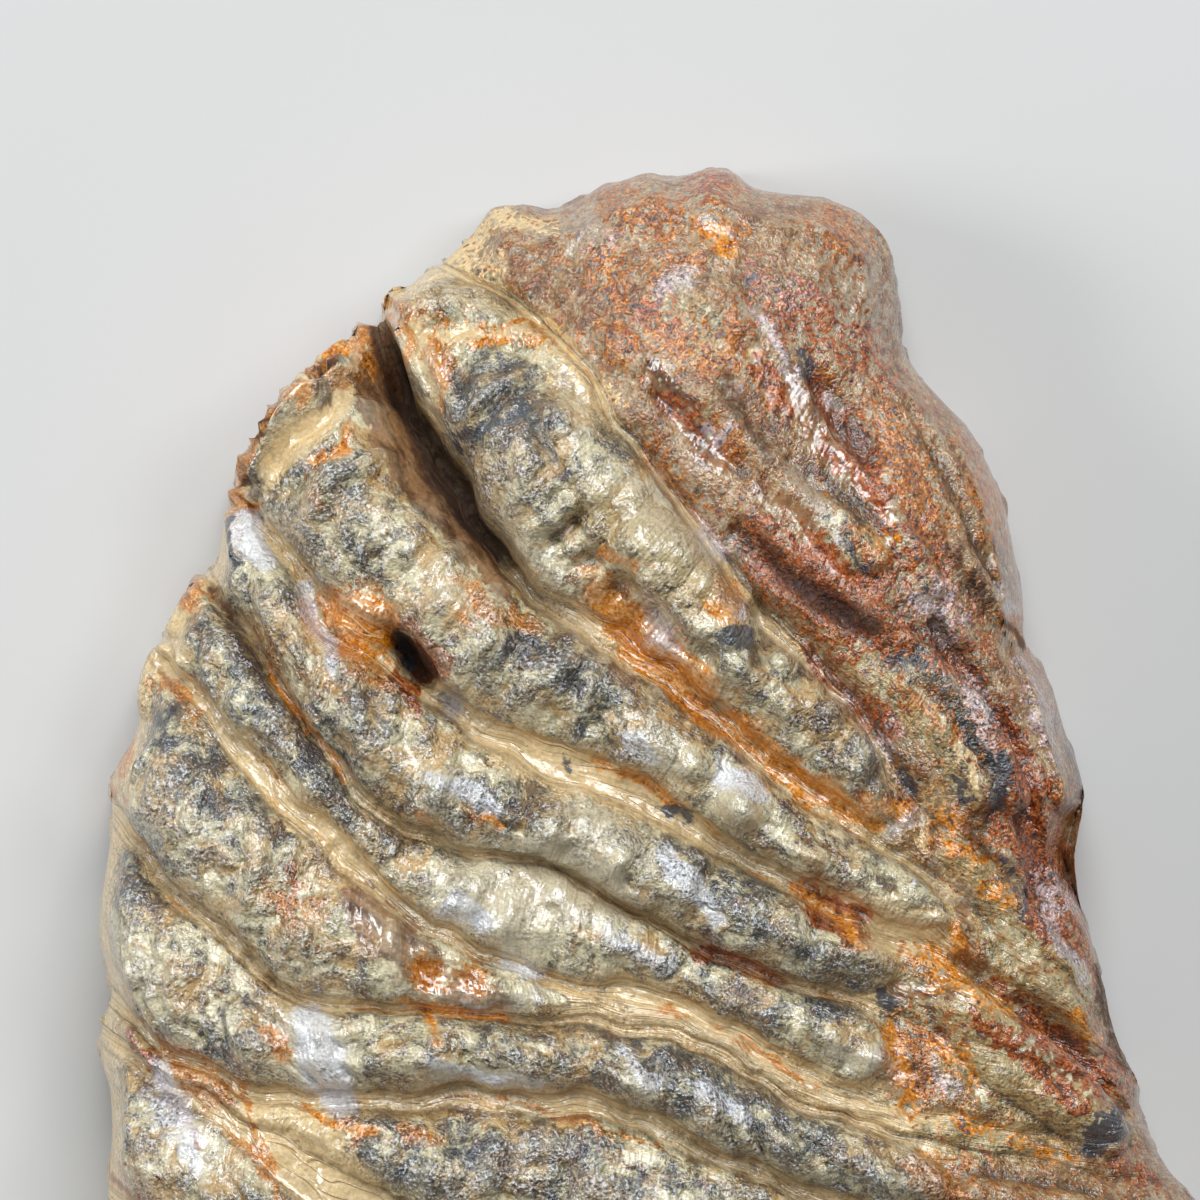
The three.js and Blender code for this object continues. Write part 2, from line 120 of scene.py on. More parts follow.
@dataclass(frozen=True)
class SmoothLine:
    """A smooth line through sheet places, held as evenly spaced samples of x, y and any sizes."""

    rows: Points

    @classmethod
    def through(cls, points: Rows, count: int = 240) -> "SmoothLine":
        """Draws a centripetal Catmull-Rom curve through the points and samples it evenly.

        Args:
            points: rows of x, y and any sizes.
            count: how many equal steps the samples make.

        Returns:
            The sampled line, its sizes shared out by the distance between points.
        """
        given = np.array(points, float)
        place = given[:, :2]
        first, last = 2.0 * place[0] - place[1], 2.0 * place[-1] - place[-2]
        padded = np.vstack([first, place, last])
        p0, p1, p2, p3 = padded[:-3], padded[1:-2], padded[2:-1], padded[3:]
        gaps = ((p0, p1), (p1, p2), (p2, p3))
        d0, d1, d2 = (np.sqrt(np.linalg.norm(b - a, axis=1))[:, None] for a, b in gaps)
        m1 = p2 - p1 + d1 * ((p1 - p0) / d0 - (p2 - p0) / (d0 + d1))
        m2 = p2 - p1 + d1 * ((p3 - p2) / d2 - (p3 - p1) / (d1 + d2))
        cubic, square = 2.0 * (p1 - p2) + m1 + m2, -3.0 * (p1 - p2) - 2.0 * m1 - m2
        t = np.linspace(0.0, 1.0, 33)[:-1][None, :, None]
        fine = ((cubic[:, None] * t + square[:, None]) * t + m1[:, None]) * t + p1[:, None]
        fine = np.vstack([fine.reshape(-1, 2), place[-1]])
        walked = np.concatenate([[0.0], np.cumsum(np.linalg.norm(np.diff(fine, axis=0), axis=1))])
        even = np.linspace(0.0, walked[-1], count + 1)
        chord = np.concatenate([[0.0], np.cumsum(np.linalg.norm(np.diff(place, axis=0), axis=1))])
        share = np.linspace(0.0, chord[-1], count + 1)
        columns = [np.interp(even, walked, fine[:, axis]) for axis in (0, 1)]
        columns += [np.interp(share, chord, given[:, k]) for k in range(2, given.shape[1])]
        return cls(np.stack(columns, axis=1))

    def at(self, share: Grid) -> list[Grid]:
        """Returns x, y and each size at shares from 0 to 1 of the line."""
        place = np.clip(share, 0.0, 1.0) * (len(self.rows) - 1)
        index = np.arange(len(self.rows))
        return [np.interp(place, index, self.rows[:, k]) for k in range(self.rows.shape[1])]

    def share_at_height(self, y: float) -> float:
        """Returns the share at which a line that runs down the sheet passes the height y."""
        i = int(np.argmax(self.rows[:, 1] >= y))
        low, high = self.rows[i - 1, 1], self.rows[i, 1]
        return (i - 1 + (y - low) / (high - low)) / (len(self.rows) - 1)

    def distance(self, x: Grid, y: Grid) -> tuple[Grid, Grid]:
        """Returns how far each sheet place is from the line, and the share of the line nearest to it."""
        best = np.full(x.shape, np.inf)
        share = np.zeros(x.shape)
        steps = len(self.rows) - 1
        for i in range(steps):
            px, py = self.rows[i, :2]
            dx, dy = self.rows[i + 1, :2] - self.rows[i, :2]
            t = np.clip(((x - px) * dx + (y - py) * dy) / (dx * dx + dy * dy), 0.0, 1.0)
            away = np.hypot(x - px - t * dx, y - py - t * dy)
            nearer = away < best
            best = np.where(nearer, away, best)
            share = np.where(nearer, (i + t) / steps, share)
        return best, share


def reached(line: SmoothLine, x: Grid, y: Grid, reach: float) -> tuple[Grid, Grid]:
    """Finds the places near a line whose third column is its half width.

    Args:
        line: the line, with x, y and half width.
        x: places to the right.
        y: places down the sheet.
        reach: how far out to look, in half widths.

    Returns:
        Which places are near, and how far out each of those is in half widths.
    """
    margin = reach * line.rows[:, 2].max()
    low, high = line.rows[:, :2].min(axis=0) - margin, line.rows[:, :2].max(axis=0) + margin
    near = (x > low[0]) & (x < high[0]) & (y > low[1]) & (y < high[1])
    away, share = line.distance(x[near], y[near])
    return near, away / line.at(share)[2]


@dataclass(frozen=True)
class LumpNoise:
    """Smooth random heights from -1 to 1: cubic blends of random values on a square lattice."""

    seed: int
    tile: int = 64

    def __call__(self, u: Grid, v: Grid) -> Grid:
        """Returns the height at places u, v, whose lumps are about one unit wide."""
        table = np.random.default_rng(self.seed).uniform(-1.0, 1.0, (self.tile, self.tile))
        iu, iv = np.floor(u).astype(int), np.floor(v).astype(int)
        fu, fv = u - iu, v - iv
        fu, fv = fu * fu * (3.0 - 2.0 * fu), fv * fv * (3.0 - 2.0 * fv)
        corner = [[table[(iu + a) % self.tile, (iv + b) % self.tile] for b in (0, 1)] for a in (0, 1)]
        return mix(mix(corner[0][0], corner[1][0], fu), mix(corner[0][1], corner[1][1], fu), fv)

    def fractal(self, u: Grid, v: Grid, octaves: int = 3, gain: float = 0.5) -> Grid:
        """Returns the sum of ever finer and fainter layers of the noise."""
        total, weight = np.zeros(np.broadcast(u, v).shape), 1.0
        for level in range(octaves):
            scale = 2.0**level
            total = total + weight * self(u * scale + 17.3 * level, v * scale + 9.1 * level)
            weight *= gain
        return total

    def puffed(self, u: Grid, v: Grid, octaves: int = 3, gain: float = 0.5) -> Grid:
        """Returns round lumps with sharp creases between them: layers of the noise's absolute value."""
        total, weight = np.zeros(np.broadcast(u, v).shape), 1.0
        for level in range(octaves):
            scale = 2.0**level
            total = total + weight * (np.abs(self(u * scale + 11.7 * level, v * scale + 5.3 * level)) - 0.3)
            weight *= gain
        return total


@dataclass(frozen=True)
class Seam:
    """A cement seam: its heights on the chewing edge and root side, and rows x, y, half width, depth."""

    start_y: float
    end_y: float
    path: tuple[tuple[float, float, float, float], ...]


SEAMS = (
    Seam(26.2, 97.0, (
        (50.0, 29.0, 0.2, 0.3), (55.5, 33.5, 0.2, 0.5), (60.0, 39.5, 0.2, 0.8), (66.5, 48.5, 0.4, 1.0),
        (72.5, 56.5, 0.7, 1.2), (78.0, 63.0, 1.1, 1.2), (85.5, 70.5, 0.7, 0.8), (91.0, 79.5, 0.4, 0.5),
        (99.0, 87.5, 0.3, 0.3),
    )),
    Seam(32.3, 103.0, (
        (41.8, 40.0, 0.5, 7.5), (47.0, 50.0, 0.7, 8.0), (51.4, 57.5, 0.6, 3.5), (61.0, 63.8, 1.0, 0.8),
        (70.0, 70.5, 1.0, 0.8), (80.0, 78.5, 1.2, 0.7), (88.5, 84.0, 0.5, 0.4), (100.0, 93.0, 0.3, 0.2),
    )),
    Seam(46.6, 107.5, (
        (27.2, 53.5, 0.2, 0.4), (33.5, 61.5, 1.4, 1.0), (38.5, 65.0, 1.5, 1.4), (46.0, 71.0, 0.8, 0.8),
        (55.0, 75.8, 1.5, 0.3), (65.0, 79.8, 1.4, 0.3), (75.0, 86.3, 0.7, 0.5), (84.0, 90.8, 1.2, 0.5),
        (94.0, 95.6, 0.5, 0.3),
    )),
    Seam(57.5, 111.5, (
        (26.3, 65.8, 0.4, 1.0), (32.0, 74.5, 0.3, 0.5), (38.5, 81.4, 0.7, 0.4), (45.0, 84.3, 0.2, 0.5),
        (55.0, 86.3, 0.2, 0.5), (65.0, 91.6, 0.2, 0.5), (76.0, 96.9, 0.6, 0.5), (86.0, 100.0, 0.3, 0.4),
        (99.0, 105.0, 0.3, 0.2),
    )),
    Seam(64.2, 115.0, (
        (20.5, 69.8, 0.6, 0.2), (30.0, 80.6, 1.1, 0.1), (38.8, 88.8, 0.9, 0.3), (47.5, 95.0, 0.6, 0.5),
        (56.5, 97.8, 0.4, 0.5), (65.5, 99.4, 0.8, 0.2), (75.0, 103.8, 0.8, 0.2), (85.0, 108.4, 0.5, 0.3),
        (96.5, 111.8, 0.3, 0.2),
    )),
    Seam(81.0, 118.5, (
        (16.5, 87.2, 0.7, 0.2), (23.5, 93.6, 0.6, 0.3), (30.5, 99.6, 0.5, 0.4), (38.5, 100.6, 0.2, 0.6),
        (48.0, 101.2, 0.2, 0.6), (57.5, 101.4, 0.3, 0.5), (65.5, 102.6, 0.7, 0.2), (75.0, 106.8, 0.7, 0.2),
        (85.0, 111.4, 0.5, 0.3), (96.5, 114.6, 0.3, 0.2),
    )),
    Seam(100.0, 126.5, (
        (18.5, 105.4, 0.6, 0.3), (29.0, 109.4, 0.6, 0.4), (40.0, 109.6, 0.8, 0.3), (52.0, 109.2, 1.0, 0.2),
        (64.0, 111.2, 1.0, 0.2), (76.0, 116.8, 0.8, 0.2), (88.0, 120.8, 0.6, 0.2), (103.0, 124.4, 0.4, 0.2),
    )),
    Seam(103.2, 134.0, (
        (18.5, 108.6, 0.6, 0.2), (27.0, 114.4, 1.8, -0.4), (34.0, 119.0, 2.7, -0.6), (42.0, 122.6, 1.8, -0.2),
        (52.0, 124.4, 0.8, 0.3), (68.0, 126.8, 0.7, 0.3), (88.0, 130.0, 0.6, 0.2), (104.0, 132.4, 0.4, 0.2),
    )),
    Seam(119.0, 141.5, (
        (23.0, 127.0, 0.7, 0.3), (42.0, 133.4, 0.7, 0.3), (68.0, 136.6, 0.7, 0.3), (95.0, 139.4, 0.5, 0.2),
    )),
    Seam(133.0, 148.0, ((31.0, 142.0, 0.7, 0.3), (62.0, 146.0, 0.7, 0.3), (95.0, 147.4, 0.5, 0.2))),
    Seam(146.0, 153.5, ((36.0, 153.6, 0.7, 0.3), (66.0, 155.8, 0.7, 0.3), (95.0, 154.8, 0.5, 0.2))),
    Seam(157.5, 158.2, ((43.0, 163.8, 0.6, 0.3), (70.0, 165.0, 0.6, 0.3), (94.0, 161.8, 0.4, 0.2))),
)


@dataclass(frozen=True)
class Plate:
    """An enamel plate between two seams: how far its crest stands out, the x where it ends, its row count."""

    rise: float
    end_x: float
    rows: int


PLATES = (
    Plate(3.4, 89.0, 34), Plate(3.2, 94.0, 28), Plate(3.0, 89.0, 28), Plate(2.5, 88.5, 24),
    Plate(2.6, 57.0, 24), Plate(2.8, 94.5, 26), Plate(2.4, 95.0, 22), Plate(2.6, 96.0, 22),
    Plate(2.8, 97.0, 12), Plate(2.8, 98.0, 12), Plate(2.6, 98.0, 12),
)


@dataclass(frozen=True)
class Stroke:
    """A ridge or, with a negative rise, a groove along a path of x, y, half width."""

    rise: float
    path: tuple[tuple[float, float, float], ...]


STROKES = (
    # The broken plate beside the crevice, and the blunt finger that lies on it
    Stroke(1.9, ((57.5, 43.5, 2.4), (61.5, 48.6, 3.8), (67.0, 55.5, 4.5), (72.2, 61.4, 3.7))),
    Stroke(-0.6, ((55.5, 50.5, 0.8), (60.0, 56.0, 1.1), (65.0, 61.4, 1.5), (70.5, 66.0, 1.2))),
    Stroke(-0.9, ((75.5, 60.5, 1.0), (76.2, 63.4, 1.2), (75.0, 66.2, 1.0))),
    Stroke(2.0, ((36.0, 62.0, 2.7), (36.8, 62.6, 2.7))),
    Stroke(0.8, ((43.6, 33.2, 1.0), (50.0, 33.8, 1.2), (56.8, 34.6, 1.0))),
    Stroke(0.6, ((42.6, 32.0, 1.0), (44.2, 37.0, 1.1), (46.2, 42.5, 0.8))),
    Stroke(0.7, ((57.2, 35.2, 1.6), (60.0, 40.0, 1.8), (63.0, 44.0, 1.2))),
    # Worn dentine roll
    Stroke(1.9, (
        (36.0, 33.0, 0.8), (35.4, 36.0, 0.9), (35.0, 38.6, 1.1), (33.7, 41.0, 1.6), (31.0, 43.2, 1.7),
        (28.4, 45.2, 1.6), (27.0, 48.0, 1.1),
    )),
    Stroke(1.5, ((39.8, 30.4, 0.8), (40.4, 34.0, 0.8), (41.7, 38.0, 0.7), (43.0, 41.6, 0.6))),
    Stroke(1.6, ((14.6, 66.4, 0.7), (17.0, 65.0, 0.9), (19.0, 67.0, 0.8))),
    # Strands and fingers on the end plate
    Stroke(0.5, (
        (75.5, 32.5, 0.8), (79.0, 38.8, 0.9), (81.2, 43.2, 0.9), (84.6, 47.6, 0.8), (87.4, 50.4, 0.7),
    )),
    Stroke(1.0, ((70.0, 40.0, 1.0), (76.0, 47.0, 1.3), (80.0, 51.2, 1.2), (84.0, 56.2, 0.9))),
    Stroke(-1.0, ((66.0, 40.0, 1.3), (70.0, 44.2, 1.5), (74.2, 47.6, 1.0))),
    Stroke(-1.1, ((73.5, 53.5, 1.4), (79.0, 58.0, 1.7), (85.5, 62.5, 1.4), (90.0, 66.0, 0.9))),
    Stroke(1.1, ((79.5, 50.5, 1.3), (83.5, 53.0, 1.6), (86.4, 56.0, 1.4))),
    Stroke(0.9, ((88.0, 52.5, 1.1), (90.6, 56.2, 1.3), (92.0, 59.0, 1.1))),
    Stroke(0.6, ((74.5, 51.5, 0.8), (79.5, 56.4, 0.9), (84.5, 60.4, 0.8))),
    Stroke(0.7, ((60.4, 34.8, 1.2), (62.6, 35.6, 1.8), (64.0, 37.4, 1.0))),
    Stroke(0.5, ((66.0, 29.5, 1.6), (71.0, 31.0, 2.2), (74.0, 34.0, 1.4))),
    Stroke(2.1, ((86.0, 61.5, 1.4), (92.0, 68.0, 2.0), (97.0, 73.6, 2.2), (100.2, 79.2, 1.9))),
    Stroke(1.5, ((89.2, 68.4, 1.2), (93.5, 74.0, 1.6), (97.0, 79.2, 1.5))),
    Stroke(1.3, ((89.5, 65.5, 0.5), (94.0, 71.6, 0.6), (98.6, 79.0, 0.5))),
    Stroke(1.0, ((94.0, 55.0, 0.8), (98.0, 60.0, 1.1), (102.0, 63.8, 1.0))),
    Stroke(1.1, ((96.5, 44.0, 1.8), (99.6, 51.0, 2.4), (101.0, 60.0, 1.8))),
    Stroke(-0.7, ((90.0, 41.0, 0.7), (95.0, 51.0, 0.9), (99.0, 59.5, 0.7))),
    Stroke(1.5, ((102.6, 65.5, 1.8), (105.0, 72.0, 2.8), (106.6, 79.5, 2.2))),
    # Root side below the end plate
    Stroke(-1.4, (
        (92.5, 62.5, 1.0), (99.5, 74.5, 1.3), (102.0, 83.0, 1.6), (104.6, 90.0, 1.3), (108.4, 94.5, 0.8),
    )),
    Stroke(1.4, ((95.5, 84.6, 2.2), (98.4, 87.2, 3.0), (100.8, 91.0, 1.8))),
    Stroke(1.6, ((99.0, 89.6, 1.8), (104.0, 96.0, 2.6), (108.0, 101.0, 2.2), (109.5, 103.8, 1.6))),
    Stroke(-1.4, ((96.0, 95.8, 0.9), (104.0, 101.6, 1.4), (109.0, 107.6, 1.4), (112.4, 111.4, 0.9))),
    Stroke(2.4, ((95.4, 100.2, 2.6), (100.0, 105.0, 3.6), (106.0, 109.2, 3.4), (110.4, 112.8, 2.8))),
    Stroke(0.8, ((82.6, 107.2, 0.8), (85.6, 107.2, 1.0), (88.0, 105.2, 0.8))),
    Stroke(0.7, ((85.0, 91.0, 1.6), (89.5, 91.6, 2.2), (93.0, 92.4, 1.4))),
    Stroke(2.0, ((97.0, 119.5, 2.4), (105.0, 121.5, 3.0), (114.0, 124.0, 2.6))),
    Stroke(2.0, ((98.0, 127.5, 2.6), (107.0, 129.0, 3.0), (117.0, 131.0, 2.6))),
    Stroke(2.0, ((99.0, 136.0, 2.6), (108.0, 137.0, 3.0), (117.5, 138.0, 2.6))),
    Stroke(1.8, ((100.0, 143.8, 2.2), (108.0, 144.6, 2.6), (115.5, 145.2, 2.2))),
)


RIBS = (
    # Broken enamel ribs along the chewing edge, with gaps between them
    Stroke(1.3, ((30.8, 36.9, 0.45), (31.6, 35.6, 0.55), (33.0, 34.7, 0.6), (34.8, 34.5, 0.5))),
    Stroke(-0.9, ((31.8, 36.6, 0.5), (33.2, 35.9, 0.6), (34.6, 35.9, 0.5))),
    Stroke(1.2, ((30.6, 38.0, 0.6), (32.0, 37.4, 0.6), (34.4, 37.2, 0.6))),
    Stroke(1.2, ((30.4, 38.2, 0.6), (30.1, 40.0, 0.6), (30.6, 41.4, 0.5))),
    Stroke(-1.0, ((31.9, 38.6, 0.5), (32.4, 40.4, 0.6))),
    Stroke(1.2, ((28.4, 39.6, 0.5), (29.0, 38.9, 0.6), (29.2, 40.2, 0.6), (29.0, 41.4, 0.5))),
    Stroke(1.3, ((26.6, 41.5, 0.5), (28.2, 41.3, 0.6))),
    Stroke(-0.8, ((26.4, 42.2, 0.25), (28.4, 42.1, 0.3))),
    Stroke(1.3, ((25.7, 43.0, 0.5), (27.6, 42.8, 0.6))),
    Stroke(-0.8, ((25.4, 43.8, 0.25), (27.2, 43.6, 0.3))),
    Stroke(1.2, ((24.7, 44.6, 0.5), (26.4, 44.4, 0.6))),
    Stroke(1.2, ((23.7, 46.8, 0.6), (25.0, 46.2, 0.7))),
    Stroke(-1.2, ((24.2, 48.0, 0.4), (26.0, 47.6, 0.6))),
    Stroke(1.1, ((22.8, 49.9, 0.6), (24.4, 49.4, 0.6), (25.8, 50.1, 0.5))),
    Stroke(0.9, ((23.6, 51.8, 0.8), (24.6, 54.2, 1.2), (26.0, 56.4, 0.8))),
    Stroke(0.9, ((35.4, 32.4, 0.6), (37.6, 32.6, 0.9))),
    Stroke(0.8, ((17.2, 63.0, 0.6), (18.6, 60.8, 0.8), (20.6, 58.8, 0.7))),
    Stroke(0.8, ((14.4, 71.0, 0.6), (14.9, 67.8, 0.7), (16.6, 65.2, 0.7))),
)


@dataclass(frozen=True)
class Hollow:
    """An oval bowl in the surface: centre, half length, half width, turn in degrees, and depth."""

    x: float
    y: float
    long: float
    wide: float
    turn: float
    depth: float

    def share(self, x: Grid, y: Grid) -> Grid:
        """Returns 1 at the bowl's centre, 0 at its rim, and less than 0 beyond: 1 less the squared reach."""
        angle = np.radians(self.turn)
        along = ((x - self.x) * np.cos(angle) + (y - self.y) * np.sin(angle)) / self.long
        across = ((y - self.y) * np.cos(angle) - (x - self.x) * np.sin(angle)) / self.wide
        return 1.0 - along * along - across * across


HOLLOWS = (
    Hollow(41.4, 65.9, 3.6, 1.9, 50.0, 5.0),
    Hollow(44.4, 69.9, 2.5, 1.6, 15.0, 1.8),
    Hollow(83.5, 42.5, 6.5, 2.2, 52.0, 1.8),
    Hollow(43.5, 97.0, 3.0, 1.9, 15.0, 0.9),
    Hollow(47.8, 97.2, 2.4, 1.8, 10.0, 0.9),
    Hollow(61.5, 60.0, 9.5, 2.8, 44.0, 1.8),
    Hollow(50.0, 39.0, 6.0, 5.0, 60.0, 0.9),
    Hollow(83.0, 91.5, 4.0, 1.7, 30.0, 0.7),
)


class Stain(Enum):
    """What a patch of colour is: the channel of the tint that it adds to."""

    SLATE = 0
    CEMENT = 1
    RUST = 2
    RED = 3
    PALE = 4
    BLACK = 5
    # Bluish-white veils: partly a whitish bloom, mostly painted highlight where the lacquer shines
    VEIL_AND_HIGHLIGHT = 6
    FLESH = 7
    KHAKI = 8
    AMBER = 9
    # Dark brown painted shade with dirt in the gaps between ribs and in grooves
    GROOVE_DIRT_AND_SHADE = 10


@dataclass(frozen=True)
class Patch:
    """An oval patch of one stain: centre, half length, half width, turn in degrees, and strength."""

    stain: Stain
    x: float
    y: float
    long: float
    wide: float
    turn: float
    strength: float = 1.0


def patches(stain: Stain, rows: Rows) -> tuple[Patch, ...]:
    """Returns one patch of the stain for each row of its other values."""
    return tuple(Patch(stain, *row) for row in rows)


